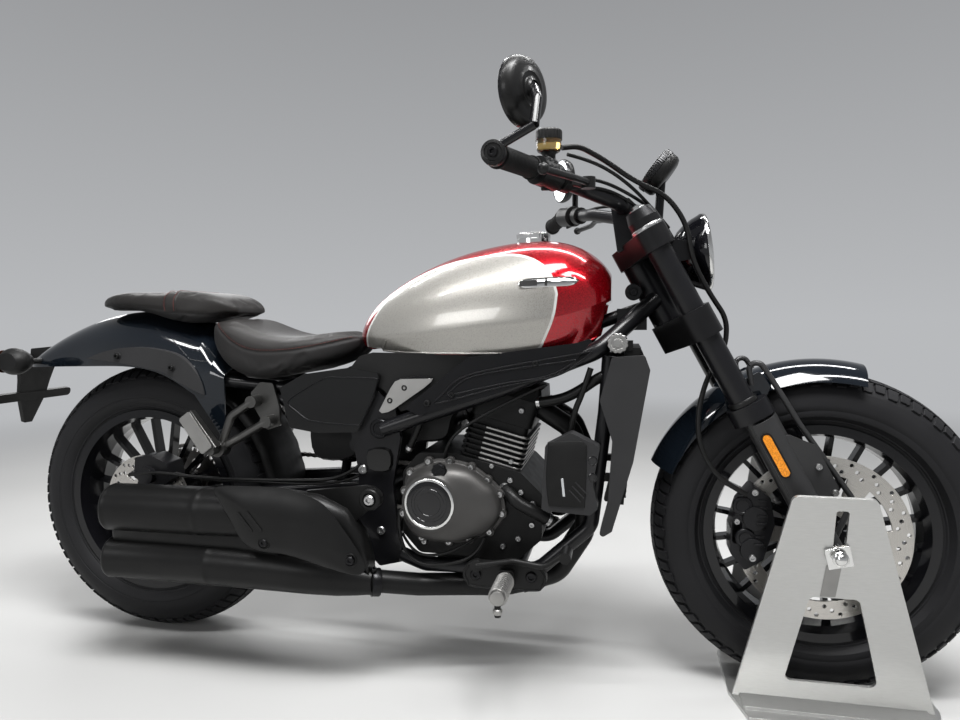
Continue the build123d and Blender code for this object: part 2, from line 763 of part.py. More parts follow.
def hood(sections, grow):
    """A solid through the fender's sections, grown by this much all round."""
    with BuildPart() as piece:
        for run, straight in ((sections[:-2], False), (sections[-3:], True)):
            for x, ridge, shoulder, edge, half in run:
                with BuildSketch(Plane(origin=(CX + x, 0, 0), x_dir=(0, 1, 0), z_dir=(1, 0, 0))):
                    with BuildLine():
                        wide = half + grow
                        Polyline((-wide, shoulder), (-wide, edge), (wide, edge), (wide, shoulder))
                        EllipticalCenterArc(
                            (0, shoulder), wide, ridge - shoulder + grow,
                            start_angle=0, arc_size=180,
                        )
                    make_face()
            loft(ruled=straight)
    return piece.part


fender_outside = hood(REAR_FENDER, SEAT_GAP)
with BuildPart() as rear_fender:
    add(hood(REAR_FENDER, 0))
    hollow = [(x, top, mid, low - 6, half) for x, top, mid, low, half in REAR_FENDER[1:]]
    add(hood(hollow, -FENDER_T), mode=Mode.SUBTRACT)
    # Two bosses a side seat it on the rails
    for hand in (-1, 1):
        with BuildSketch(side(hand * RAIL_FACE_Y)):
            with Locations(*chassis(*FENDER_BOSSES)):
                Circle(FENDER_BOSS_R)
        extrude(amount=-hand * FENDER_BOSS_REACH)
keep("rear_fender", rear_fender)

# The passenger's seat saddles the fender
with BuildPart() as seated_pad:
    add(cushion(PILLION_SEAT).part)
    add(fender_outside, mode=Mode.SUBTRACT)
keep("passenger_seat", seated_pad)

# Fender trims, and the tail unit with its bare plate holder
TRIM_Y = 116.0
TRIM_DEPTH = 18.0
TRIM_STAND_OUT = 6.0
TRIM_BOLT_R, TRIM_BOLT_T = 8.0, 3.0
with BuildPart() as fender_trims:
    with BuildSketch(side(-TRIM_Y + TRIM_DEPTH)):
        with BuildLine():
            ThreePointArc(*chassis((-112, 664), (-10, 690), (97, 682)))
            ThreePointArc(*chassis((97, 682), (160, 650), (192, 584)))
            ThreePointArc(*chassis((192, 584), (140, 606), (90, 634)))
            ThreePointArc(*chassis((90, 634), (-5, 652), (-112, 664)))
        make_face()
    extrude(amount=TRIM_DEPTH + TRIM_STAND_OUT)
    with BuildSketch(side(-TRIM_Y - TRIM_STAND_OUT)):
        with Locations(*chassis((-27, 671), (113, 645))):
            Circle(TRIM_BOLT_R)
    extrude(amount=TRIM_BOLT_T)
    mirror(about=Plane.XZ)
    add(fender_outside, mode=Mode.SUBTRACT)
    with Locations((CX + 100, 0, 600)):
        Box(200, 2 * RAIL_FACE_Y, 110, mode=Mode.SUBTRACT)
keep("fender_trims", fender_trims)

HOLDER_TILT = radians(15.0)
HOLDER_H = 183.0
HOLDER_RIM, HOLDER_SHEET = 12.0, 3.0
TAIL_BAR_W, TAIL_BAR_H, TAIL_BAR_T = 236.0, 22.0, 10.0
BAR_DROP = -110.0
HOLDER_TOP = (
    CX - TAIL_REACH + HOLDER_H * sin(HOLDER_TILT) + HOLDER_RIM * cos(HOLDER_TILT), 0, 668
)
HOLDER = [(-60, 0), (60, 0), (44, -70), (38, -112), (11, -HOLDER_H), (-11, -HOLDER_H), (-38, -112),
          (-44, -70)]
holder_face = Plane(
    origin=HOLDER_TOP, x_dir=(0, -1, 0), z_dir=(-cos(HOLDER_TILT), 0, sin(HOLDER_TILT))
)
with BuildPart() as tail_unit:
    # The tapered plate holder, with its raised rim and crossed ribs
    with BuildSketch(holder_face):
        Polygon(*HOLDER, align=None)
    extrude(amount=HOLDER_SHEET)
    with BuildSketch(holder_face) as ribs:
        Polygon(*HOLDER, align=None)
        offset(amount=-5, kind=Kind.INTERSECTION, mode=Mode.SUBTRACT)
        for height, half, lean in ((-35, 44, 40), (-90, 34, 38), (-135, 24, 40)):
            for turn in (-lean, lean):
                with Locations((0, height)):
                    Rectangle(2 * half, 4, rotation=turn)
    extrude(amount=HOLDER_RIM)
    # The cross bar that carries the reflector, and the block under the fender's tip
    with BuildSketch(holder_face.offset(-2)):
        with Locations((0, BAR_DROP)):
            RectangleRounded(TAIL_BAR_W, TAIL_BAR_H, 10)
    extrude(amount=TAIL_BAR_T)
    block = [(128, 690), (128, 664), (96, 640), (50, 646), (54, 684)]
    add(slab([(CX - TAIL_REACH + ahead, z) for ahead, z in block], 24, 48, 5))
    add(fender_outside, mode=Mode.SUBTRACT)
keep("tail_unit", tail_unit)

INDICATOR_X, INDICATOR_Y, INDICATOR_Z = CX - 268, 168.0, 660.0
INDICATOR_ARM_R = 7.0
with BuildPart() as rear_indicators:
    for out, wide, high in ((-27, 30, 22), (0, 36, 31), (18, 26, 20)):
        with BuildSketch(side(-INDICATOR_Y - out)):
            with Locations((INDICATOR_X, INDICATOR_Z)):
                Ellipse(wide, high)
    loft()
    with BuildSketch(side(-INDICATOR_Y + 24)):
        with Locations((INDICATOR_X, INDICATOR_Z - 3)):
            Circle(INDICATOR_ARM_R)
    extrude(amount=-60)
    mirror(about=Plane.XZ)
    add(fender_outside, mode=Mode.SUBTRACT)
    with Locations((INDICATOR_X, 0, INDICATOR_Z - 3)):
        Box(60, 2 * 90, 60, mode=Mode.SUBTRACT)
keep("rear_indicators", rear_indicators)

# Side covers below the seat, and the metallic covers along the frame under the tank
SIDE_COVER_T, FRAME_COVER_T, TRIANGLE_T = 16.0, 10.0, 8.0
with BuildPart() as side_covers:
    add(
        slab(
            chassis((384, 604), (440, 634), (540, 648), (612, 636), (598, 585), (560, 512),
                    (470, 508), (405, 518)),
            -(PLATE_Y + PLATE_T + SEAT_GAP), SIDE_COVER_T, 9,
        )
    )
    mirror(about=Plane.XZ)
keep("side_covers", side_covers)

with BuildPart() as frame_covers:
    add(
        slab(
            chassis((668, 566), (700, 552), (858, 598), (1005, 650), (1056, 712), (1020, 700),
                    (805, 672)),
            -(SIDE_TUBE_Y + SIDE_TUBE_R + SEAT_GAP), FRAME_COVER_T, 4,
        )
    )
    add(
        slab(
            chassis((600, 552), (640, 622), (690, 632), (728, 628), (660, 585)),
            -(PLATE_Y + PLATE_T + SEAT_GAP), TRIANGLE_T, 4,
        )
    )
    mirror(about=Plane.XZ)
keep("frame_covers", frame_covers)

# Exhaust: two header pipes, a two-can silencer and its shield, all on the right
COLLECTOR_R = 23.0
collector_route = [
    (CX + x, y, z) for x, y, z in
    ((925, -56, 196), (868, -86, 190), (780, -100, 189), (690, -134, 195), (596, -180, 214))
]
with BuildPart() as exhaust_pipes:
    for hand in (-1, 1):
        add(tube(header_route(hand), PIPE_R, 45))
    add(tube(collector_route, COLLECTOR_R, 90))
keep("exhaust_pipes", exhaust_pipes)

CAN_Y = 200.0
UPPER_CAN_Z, UPPER_CAN_R = 345.0, 47.0
LOWER_CAN_Z, LOWER_CAN_R = 237.0, 43.0
CAN_REAR = CX + 14
CANS = [  # height, radius, length, outlet's shift
    (UPPER_CAN_Z, UPPER_CAN_R, 330, -6), (LOWER_CAN_Z, LOWER_CAN_R, 400, 4),
]
CAN_WALL, CAN_RECESS = 5.0, 12.0
OUTLET_R, OUTLET_BORE_R = 20.0, 17.0
HANGER = (CX + 612, 388)
HANGER_R = 22.0


def can_end(x, z):
    """The plane square to the silencer's cans, this far ahead of their rear ends."""
    return Plane(origin=(CAN_REAR + x, -CAN_Y, z), x_dir=(0, 1, 0), z_dir=(1, 0, 0))


with BuildPart() as mufflers:
    for z, r, reach, _ in CANS:
        with BuildSketch(can_end(0, z)):
            Circle(r)
        extrude(amount=reach)
    add(
        slab(
            chassis((284, 380), (470, 402), (560, 372), (614, 262), (604, 190), (400, 194),
                    (300, 200)),
            -166, 60, 14,
        )
    )
    for z, r, _, shift in CANS:
        with BuildSketch(can_end(0, z)):
            Circle(r - CAN_WALL)
        extrude(amount=CAN_RECESS, mode=Mode.SUBTRACT)
        with BuildSketch(can_end(3, z + shift)):
            Circle(OUTLET_R)
            Circle(OUTLET_BORE_R, mode=Mode.SUBTRACT)
        extrude(amount=CAN_RECESS)
    with BuildSketch(can_end(16, (UPPER_CAN_Z + LOWER_CAN_Z) / 2 - 1)):
        Rectangle(56, 42)
    extrude(amount=300)
    add(slab(chassis((470, 408), (618, 412), (636, 374), (560, 330)), -182, 10, 6))
    with BuildSketch(side(-178)):
        with Locations(HANGER):
            Circle(HANGER_R)
    extrude(amount=26)
    add(tube(collector_route, COLLECTOR_R + SEAT_GAP, 90), mode=Mode.SUBTRACT)
keep("mufflers", mufflers)

SHIELD_Y = -247.5
SHIELD_MIDDLE = (450.0, 328.0)
SHIELD = [(279, 388), (300, 404), (357, 413), (478, 418), (542, 403), (576, 352), (622, 276),
          (604, 230), (539, 230), (390, 258), (308, 298), (284, 340)]
BOLT_FLOOR, BOLT_RECESS_R = 8.0, 13.0
SHIELD_STEPS = [  # depth, share of the outline's size, corner
    (0, 1.0, 12), (7, 0.96, 12), (13, 0.86, 14), (16, 0.66, 14),
]
with BuildPart() as heat_shield:
    for depth, share, corner in SHIELD_STEPS:
        with BuildSketch(side(SHIELD_Y - depth)) as outline:
            with BuildLine():
                Polyline(*chassis(*scaled(SHIELD, SHIELD_MIDDLE, share)), close=True)
            make_face()
            fillet(outline.vertices(), corner)
    loft()
    with BuildSketch(side(SHIELD_Y)):
        with Locations(*chassis((368, 338), (392, 342))):
            SlotOverall(52, 7, rotation=-46)
    extrude(amount=20, mode=Mode.SUBTRACT)
    with BuildSketch(side(SHIELD_Y - BOLT_FLOOR)):
        with Locations(*chassis((398, 303), (584, 277))):
            Circle(BOLT_RECESS_R)
    extrude(amount=20, mode=Mode.SUBTRACT)
keep("heat_shield", heat_shield)

PEG_BRACKET_Y, PEG_BRACKET_T = 158.0, 16.0
PEG = (CX + 886, 240)
PEG_CORE_R, PEG_RING_R = 13.0, 16.0
PEG_RINGS, PEG_RING_T, PEG_RING_STEP = 8, 5.0, 9.5
CRADLE_FACE_Y = CRADLE_Y + CRADLE_R + SEAT_GAP
with BuildPart() as rider_pegs:
    with BuildSketch(side(-PEG_BRACKET_Y)):
        with Locations((CX + 880, 240)):
            SlotOverall(168, 52)
    extrude(amount=PEG_BRACKET_T)
    with BuildSketch(side(-CRADLE_FACE_Y)):
        with Locations(*chassis((826, 238), (934, 240))):
            Circle(15)
    extrude(amount=PEG_BRACKET_Y - CRADLE_FACE_Y)
    with BuildSketch(side(-PEG_BRACKET_Y - PEG_BRACKET_T)):
        with Locations(PEG):
            RectangleRounded(30, 34, 6)
    extrude(amount=16)
    with BuildSketch(side(-PEG_BRACKET_Y - PEG_BRACKET_T - 16)):
        with Locations(PEG):
            Circle(PEG_CORE_R)
    extrude(amount=92)
    for ring in range(PEG_RINGS):
        with BuildSketch(side(-PEG_BRACKET_Y - 38 - ring * PEG_RING_STEP)):
            with Locations(PEG):
                Circle(PEG_RING_R)
        extrude(amount=PEG_RING_T)
    with BuildSketch(Plane(origin=(PEG[0], -PEG_BRACKET_Y - 118, PEG[1] - 12), z_dir=(0, 0, -1))):
        Circle(6)
    extrude(amount=24)
    mirror(about=Plane.XZ)
keep("rider_pegs", rider_pegs)

STRUT_Y = 134.0
HINGE = (CX + 244, -STRUT_Y - 10, 470)
HINGE_R, STRUT_R, STRUT_BOSS_R = 17.0, 9.0, 13.0
PEG_LENGTH = 98.0
PEG_RIBS = 8
PEG_RISE = (-0.58, 0, 0.81)
STRUTS = [  # x, z at the bracket, then x, z at the knee
    (318, 573, 268, 540),
    (352, 530, 288, 494),
]
with BuildPart() as passenger_pegs:
    add(
        slab(
            chassis((302, 590), (326, 614), (356, 612), (370, 560), (372, 518), (340, 508),
                    (308, 560)),
            -RAIL_FACE_Y, 8, 6,
        )
    )
    for x, z, knee_x, knee_z in STRUTS:
        with BuildSketch(side(-RAIL_FACE_Y - 3.7)):
            with Locations((CX + x, z)):
                Circle(STRUT_BOSS_R)
        extrude(amount=STRUT_Y + STRUT_R - RAIL_FACE_Y - 3.7)
        knee = (CX + knee_x, -STRUT_Y - 4, knee_z)
        add(tube([(CX + x, -STRUT_Y, z), knee, HINGE], STRUT_R, 24))
    with Locations(HINGE):
        Cylinder(HINGE_R, 30, rotation=(90, 0, 0))
    with Locations((HINGE[0], HINGE[1] - 24, HINGE[2])):
        Cylinder(STRUT_R, 30, rotation=(90, 0, 0))
    with BuildSketch(
        Plane(origin=(HINGE[0], HINGE[1] - 28, HINGE[2]), x_dir=(0, 1, 0), z_dir=PEG_RISE)
    ):
        RectangleRounded(26, 36, 6)
    extrude(amount=PEG_LENGTH, taper=3)
    # Its tread: cross ribs on the face that turns up when the peg is folded out
    for rib in range(PEG_RIBS):
        reach = 18 + rib * (PEG_LENGTH - 24) / (PEG_RIBS - 1)
        with Locations(
            Location(
                (HINGE[0] + PEG_RISE[0] * reach - 13, HINGE[1] - 28,
                 HINGE[2] + PEG_RISE[2] * reach - 9),
                (0, -35.6, 0),
            )
        ):
            Box(6, 22, 4)
    mirror(about=Plane.XZ)
keep("passenger_pegs", passenger_pegs)

# Foot levers: the brake pedal on the right and the gear lever on the left
LEVER_R, LEVER_EYE_R, LEVER_EYE_T = 6.0, 12.0, 12.0
PAD_R, PAD_W = 11.0, 46.0
with BuildPart() as foot_levers:
    for hand in (-1, 1):
        y = hand * (PEG_BRACKET_Y + PEG_BRACKET_T + 10)
        add(
            tube(
                [(CX + 826, y, 262), (CX + 900, y, 276), (CX + 960, y, 268), (CX + 1004, y, 300)],
                LEVER_R, 30,
            )
        )
        with Locations((CX + 1004, y + hand * 14, 300)):
            Cylinder(PAD_R, PAD_W, rotation=(90, 0, 0))
        eye_y = PEG_BRACKET_Y + PEG_BRACKET_T + SEAT_GAP + LEVER_EYE_T / 2
        with Locations((CX + 826, hand * eye_y, 262)):
            Cylinder(LEVER_EYE_R, LEVER_EYE_T, rotation=(90, 0, 0))
keep("foot_levers", foot_levers)

# Rear brake caliper, over the disc's top
CALIPER_GAP = 3.0
with BuildPart() as rear_caliper:
    add(
        slab(
            from_axle(REAR_X, REAR_TYRE_R, (-6, 64), (14, 58), (70, 46), (90, 62), (84, 100),
                      (40, 118), (0, 112)),
            -56, 56, 7,
        )
    )
    with Locations((REAR_X + 35, -118, REAR_TYRE_R + 72)):
        Cylinder(20, 18, rotation=(90, 0, 0))
    # Its bracket, on the axle between the disc and the swingarm
    add(
        slab(
            from_axle(REAR_X, REAR_TYRE_R, (-24, -14), (24, -14), (30, 20), (76, 50), (66, 74),
                      (6, 70), (-24, 14)),
            -(ARM_END_Y - ARM_END_T / 2 - SEAT_GAP - 10), 10, 6,
        )
    )
    with Locations((REAR_X, REAR_DISC_Y, REAR_TYRE_R)):
        Cylinder(
            REAR_DISC_R + CALIPER_GAP, DISC_T + 2 * CALIPER_GAP, rotation=(90, 0, 0),
            mode=Mode.SUBTRACT,
        )
    with Locations((REAR_X, -ARM_END_Y, REAR_TYRE_R)):
        Cylinder(REAR_SPACER_R + SEAT_GAP, 60, rotation=(90, 0, 0), mode=Mode.SUBTRACT)
keep("rear_caliper", rear_caliper)

# Drive chain: a closed loop of links round both sprockets, on the left
CHAIN_GAP = 1.0
CHAIN_DEPTH = 11.0
CHAIN_W = 10.0


def belt_line(grow):
    """The outline round both sprockets, this far outside their tips."""
    with BuildSketch(side(SPROCKET_Y + CHAIN_W / 2)) as outline:
        with Locations((REAR_X, REAR_TYRE_R)):
            Circle(SPROCKET_R + grow)
        with Locations((FRONT_SPROCKET_X, FRONT_SPROCKET_Z)):
            Circle(FRONT_SPROCKET_R + grow)
        make_hull()
    return outline.sketch


with BuildPart() as drive_chain:
    extrude(belt_line(CHAIN_GAP + CHAIN_DEPTH), amount=CHAIN_W)
    extrude(belt_line(CHAIN_GAP), amount=CHAIN_W, mode=Mode.SUBTRACT)
keep("drive_chain", drive_chain)

# Side stand, folded back along the left of the cradle
STAND_PIVOT = (CX + 610, 128.0, 236.0)
LEG_DIR = (-0.984, 0.170, 0.052)
LEG_LENGTH, LEG_R = 214.0, 9.0
with BuildPart() as side_stand:
    tip = tuple(p + LEG_LENGTH * d for p, d in zip(STAND_PIVOT, LEG_DIR))
    add(tube([STAND_PIVOT, tip], LEG_R, 1))
    with BuildSketch(Plane(origin=STAND_PIVOT, x_dir=(1, 0, 0), z_dir=(0, 0.966, 0.259))):
        Circle(15)
    extrude(amount=6, both=True)
    with BuildSketch(Plane(origin=tip, x_dir=(0, 0, 1), z_dir=LEG_DIR)):
        RectangleRounded(44, 30, 8)
    extrude(amount=7)
keep("side_stand", side_stand)

# Steering: clamps and stem, fork, axle, caliper and fender
CLAMP_R, CLAMP_MIDDLE_R = 33.0, 36.0
DIAL_R, DIAL_T = 48.0, 38.0
dial_back = Plane(origin=(CX + 1195, 0, 1033), x_dir=(0, 1, 0), z_dir=(-0.786, 0, 0.618))
LAMP_X, LAMP_Z, LAMP_R = CX + 1266, 880.0, 79.0
LAMP_UP = 6.0
LAMP_EAR_Y, LAMP_EAR_T = 60.0, 8.0


def lamp_bowl(grow):
    """The headlight's turned body, grown by this much all round."""
    aim = (cos(radians(LAMP_UP)), 0, sin(radians(LAMP_UP)))
    with BuildPart() as bowl:
        with BuildSketch(Plane(origin=(LAMP_X, 0, LAMP_Z), x_dir=aim, z_dir=(0, -1, 0))):
            with BuildLine():
                rear, front, wide = -60 - grow, 18 + grow, LAMP_R + grow
                Line((rear, 0), (rear, 18))
                ThreePointArc((rear, 18), (rear + 20, 56 + grow), (0, wide))
                Line((0, wide), (10, wide))
                Line((10, wide), (10, wide - 7))
                ThreePointArc((10, wide - 7), (front - 2, 46), (front, 20))
                Line((front, 20), (front, 0))
                Line((front, 0), (rear, 0))
            make_face()
        revolve(axis=Axis((LAMP_X, 0, LAMP_Z), aim))
    return bowl.part


BAR_X, BAR_Z = 1106.0, 968.0
RISER_Y, RISER_T = 47.0, 26.0
LOWER_S, LOWER_T = HEAD_LOW_S - SEAT_GAP, 58.0
UPPER_S, UPPER_T = HEAD_HIGH_S + SEAT_GAP, 42.0
TUBE_ABOVE = 22.0
CAP_BOSS_R, CAP_BOSS_H = CLAMP_R - 2, 20.0
FORK_LEGS = [(FORK_OFFSET, -FORK_Y), (FORK_OFFSET, FORK_Y)]
with BuildPart() as triple_clamps:
    for s, thick in ((LOWER_S - LOWER_T, LOWER_T), (UPPER_S, UPPER_T)):
        with BuildSketch(on_fork(s)):
            Circle(CLAMP_MIDDLE_R)
            with Locations(*FORK_LEGS):
                Circle(CLAMP_R)
            make_hull()
            with Locations(*FORK_LEGS):
                Circle(FORK_TUBE_R, mode=Mode.SUBTRACT)
        extrude(amount=thick)
    with BuildSketch(on_fork(UPPER_S + UPPER_T)):
        with Locations(*FORK_LEGS):
            Circle(CAP_BOSS_R)
            Circle(FORK_TUBE_R, mode=Mode.SUBTRACT)
    extrude(amount=TUBE_ABOVE + SEAT_GAP)
    with BuildSketch(on_fork(UPPER_S + UPPER_T + TUBE_ABOVE + SEAT_GAP)):
        with Locations(*FORK_LEGS):
            Circle(CAP_BOSS_R)
    extrude(amount=CAP_BOSS_H, taper=16)
    with BuildSketch(on_fork(LOWER_S)):
        Circle(STEM_R)
    extrude(amount=UPPER_S - LOWER_S)
    # The risers that hold the bar, on the upper clamp
    for y in (-RISER_Y, RISER_Y):
        add(
            slab(
                chassis((1096, 878), (1142, 902), (1130, 976), (1118, 988), (1094, 988),
                        (1082, 974)),
                y + RISER_T / 2, RISER_T, 5,
            )
        )
    with Locations((CX + BAR_X, 0, BAR_Z)):
        Cylinder(BAR_R + SEAT_GAP, 2 * (RISER_Y + RISER_T), rotation=(90, 0, 0), mode=Mode.SUBTRACT)
    # The dial's stalk and the headlight's bracket, both on the clamps
    add(tube([(CX + 1176, 0, 915), (CX + 1184, 0, 1040)], 9, 1))
    with BuildSketch(dial_back.offset(-SEAT_GAP)):
        Circle(2 * DIAL_R)
    extrude(amount=DIAL_T, mode=Mode.SUBTRACT)
    for y in (-LAMP_EAR_Y, LAMP_EAR_Y):
        add(
            slab(
                chassis((1175, 878), (1204, 856), (1236, 862), (1250, 880), (1236, 898),
                        (1190, 906)),
                y + LAMP_EAR_T / 2, LAMP_EAR_T, 4,
            )
        )
    add(lamp_bowl(SEAT_GAP), mode=Mode.SUBTRACT)
keep("triple_clamps", triple_clamps)

COLLAR_S, COLLAR_T = 268.0, 34.0
COLLAR_HALF = 30.0
FORK_TOP_S = UPPER_S + UPPER_T + TUBE_ABOVE
with BuildPart() as fork_tubes:
    with BuildSketch(on_fork(COLLAR_S)):
        with Locations(*FORK_LEGS):
            Circle(FORK_TUBE_R)
    extrude(amount=FORK_TOP_S - COLLAR_S)
    with BuildSketch(on_fork(COLLAR_S)):
        with Locations((FORK_OFFSET + 4, -FORK_Y), (FORK_OFFSET + 4, FORK_Y)):
            Ellipse(40, COLLAR_HALF)
    extrude(amount=COLLAR_T)
keep("fork_tubes", fork_tubes)

GUARD_R = 36.0
GUARD_T = 4.0
LOWER_LEG_R = 18.5
LEG_FOOT_S = -24.0
LUG_S, LUG_H, LUG_HALF = -26.0, 70.0, 23.0
STAY_R = 5.5
STAY = [  # x from the axle, y, z from the axle
    (14, 96, 8), (46, 94, 84), (-49, 92, 223), (-98, 90, 306), (-126, 86, 350), (-140, 80.7, 330),
    (-134, 80.7, 296),
]
with BuildPart() as fork_lowers:
    with BuildSketch(on_fork(LEG_FOOT_S)):
        with Locations(*FORK_LEGS):
            Circle(LOWER_LEG_R)
    extrude(amount=COLLAR_S - LEG_FOOT_S - SEAT_GAP)
    with BuildSketch(on_fork(LUG_S)):
        with Locations((FORK_OFFSET + 4, -FORK_Y), (FORK_OFFSET + 4, FORK_Y)):
            RectangleRounded(58, 2 * LUG_HALF, 12)
    extrude(amount=LUG_H)
    with BuildSketch(on_fork(40)):
        with Locations((FORK_OFFSET + 7, -FORK_Y), (FORK_OFFSET + 7, FORK_Y)):
            Circle(GUARD_R)
            Circle(GUARD_R - GUARD_T, mode=Mode.SUBTRACT)
        with Locations((FORK_OFFSET - 50, -FORK_Y), (FORK_OFFSET - 50, FORK_Y)):
            Rectangle(80, 90, mode=Mode.SUBTRACT)
    extrude(amount=COLLAR_S - 40 - 4)
    for hand in (-1, 1):
        flange = slab(
            from_axle(FRONT_X, FRONT_TYRE_R, (-88, 214), (-28, 190), (12, 112), (-2, 84),
                      (-50, 96)),
            -FORK_Y - 16, 6, 8,
        )
        add(flange if hand < 0 else flange.mirror(Plane.XZ))
        # The stay that runs from the axle lug up the fork's front to the fender
        add(tube([(FRONT_X + x, hand * y, FRONT_TYRE_R + z) for x, y, z in STAY], STAY_R, 14))
    for s in (96, 190):
        with BuildSketch(on_fork(s)):
            for y in (-FORK_Y - 25, FORK_Y + 25):
                with Locations((FORK_OFFSET + 4, y)):
                    Rectangle(16, 18)
        extrude(amount=16)
    with Locations((FRONT_X, 0, FRONT_TYRE_R)):
        Cylinder(
            FRONT_AXLE_R + BEARING_GAP, 2 * FORK_Y + 80, rotation=(90, 0, 0), mode=Mode.SUBTRACT
        )
keep("fork_lowers", fork_lowers)

AXLE_END = FORK_Y + 33
FRONT_SPACER_R = 16.0
with BuildPart() as front_axle:
    with Locations((FRONT_X, 0, FRONT_TYRE_R)):
        Cylinder(FRONT_AXLE_R, 2 * AXLE_END, rotation=(90, 0, 0))
    for hand in (-1, 1):
        start = FRONT_HUB_HALF + HUB_GAP
        collar = FORK_Y - LUG_HALF - SEAT_GAP - start
        with Locations((FRONT_X, hand * (start + collar / 2), FRONT_TYRE_R)):
            Cylinder(FRONT_SPACER_R, collar, rotation=(90, 0, 0))
keep("front_axle", front_axle)

CALIPER_RIM_GAP = 10.0
PISTON_R, PISTON_T = 24.0, 12.0
with BuildPart() as front_caliper:
    add(
        slab(
            from_axle(FRONT_X, FRONT_TYRE_R, (-172, -30), (-146, -62), (-112, -40), (-92, 30),
                      (-100, 82), (-132, 104), (-158, 70), (-172, 20)),
            -46, 55, 6,
        )
    )
    with BuildSketch(side(0)) as swing:
        with Locations((FRONT_X, FRONT_TYRE_R)):
            Circle(RIM_INNER_R - CALIPER_RIM_GAP)
    extrude(amount=140, mode=Mode.INTERSECT)
    with BuildSketch(side(-96)):
        with Locations((FRONT_X - 132, FRONT_TYRE_R - 20), (FRONT_X - 128, FRONT_TYRE_R + 42)):
            Circle(PISTON_R)
    extrude(amount=PISTON_T, taper=8)
    with BuildSketch(side(-76)):
        with Locations((FRONT_X - 160, FRONT_TYRE_R + 12)):
            RectangleRounded(18, 44, 6)
    extrude(amount=40, mode=Mode.SUBTRACT)
    with Locations((FRONT_X, FRONT_DISC_Y, FRONT_TYRE_R)):
        Cylinder(
            FRONT_DISC_R + CALIPER_GAP, DISC_T + 2 * CALIPER_GAP, rotation=(90, 0, 0),
            mode=Mode.SUBTRACT,
        )
keep("front_caliper", front_caliper)

FENDER_START, FENDER_END = 76.0, 158.0
FENDER_GAP = 24.0
FENDER_DROP, FENDER_SHEET = 42.0, 3.5
FENDER_HALF = FRONT_TYRE_W / 2 + 8
BRACKET_T = 4.2
BRACKET_Y = FORK_Y - COLLAR_HALF - SEAT_GAP
with BuildPart() as front_fender:
    reach = radians(FENDER_END)
    with BuildSketch(
        Plane(
            origin=(FRONT_X, 0, FRONT_TYRE_R), x_dir=(cos(reach), 0, sin(reach)),
            z_dir=(-sin(reach), 0, cos(reach)),
        )
    ):
        crown = FRONT_TYRE_R + FENDER_GAP
        edge = crown - FENDER_DROP
        inside = FENDER_HALF - FENDER_SHEET
        with BuildLine():
            ThreePointArc((edge, -FENDER_HALF), (crown, 0), (edge, FENDER_HALF))
            Line((edge, FENDER_HALF), (edge, inside))
            ThreePointArc((edge, inside), (crown - FENDER_SHEET, 0), (edge, -inside))
            Line((edge, -inside), (edge, -FENDER_HALF))
        make_face()
    revolve(
        axis=Axis((FRONT_X, 0, FRONT_TYRE_R), (0, 1, 0)),
        revolution_arc=FENDER_END - FENDER_START,
    )
    # Its brackets reach down inside the fork's collars
    for y in (-BRACKET_Y, BRACKET_Y - BRACKET_T):
        add(
            slab(
                from_axle(FRONT_X, FRONT_TYRE_R, (-176, 240), (-120, 236), (-96, 300),
                          (-120, 322), (-186, 284)),
                y + BRACKET_T, BRACKET_T, 6,
            )
        )
keep("front_fender", front_fender)

# Headlight, round dial, bars and controls
with BuildPart() as headlight:
    add(lamp_bowl(0))
keep("headlight", headlight)

with BuildPart() as dial:
    with BuildSketch(dial_back):
        Circle(DIAL_R)
    extrude(amount=DIAL_T)
keep("dial", dial)

MIRROR_CLAMP = 14.0
BAR_END_GAP = 4.6
BAR_PATH = [  # x, y to the left, z
    (BAR_X, 0, BAR_Z), (BAR_X, 92, BAR_Z), (1034, 158, 990), (957, 282, 1006),
    (914, BAR_HALF - MIRROR_CLAMP - BAR_END_GAP, 1001),
]
right_bar = [(CX + x, -y, z) for x, y, z in BAR_PATH]


def bar_sleeve(run, start, end, radius):
    """A sleeve on one straight run of the right-hand half of the bar."""
    low, high = right_bar[run], right_bar[run + 1]
    return tube([along(low, high, start), along(low, high, end)], radius, 1, BAR_R + BEARING_GAP)


with BuildPart() as handlebar:
    add(tube(right_bar, BAR_R, 60))
    mirror(about=Plane.XZ)
keep("handlebar", handlebar)

with BuildPart() as grips:
    add(bar_sleeve(3, 0.08, 0.96, GRIP_R))
    mirror(about=Plane.XZ)
keep("grips", grips)

# Switch housings, lever perches and levers
PIVOT = (CX + 1046, -222.0, 990.0)
BALL = (CX + 985, -384.0, 983.0)
SWITCH_R, PERCH_R = 25.0, 20.0
with BuildPart() as bar_controls:
    add(bar_sleeve(2, 0.60, 0.95, SWITCH_R))
    add(bar_sleeve(2, 0.36, 0.50, PERCH_R))
    perch = along(right_bar[2], right_bar[3], 0.43)
    perch_end = (PIVOT[0], PIVOT[1] + 14, PIVOT[2])
    add(tube([(perch[0] + 16, perch[1] - 4, perch[2]), perch_end], 10, 1))
    with Locations((PIVOT[0], PIVOT[1] + 4, PIVOT[2])):
        Cylinder(13, 20)
    add(tube([PIVOT, (CX + 1026, -300, 984), BALL], 6, 60))
    with Locations(BALL):
        Sphere(9.5)
    add(tube(right_bar, BAR_R + BEARING_GAP, 60), mode=Mode.SUBTRACT)
    mirror(about=Plane.XZ)
keep("bar_controls", bar_controls)

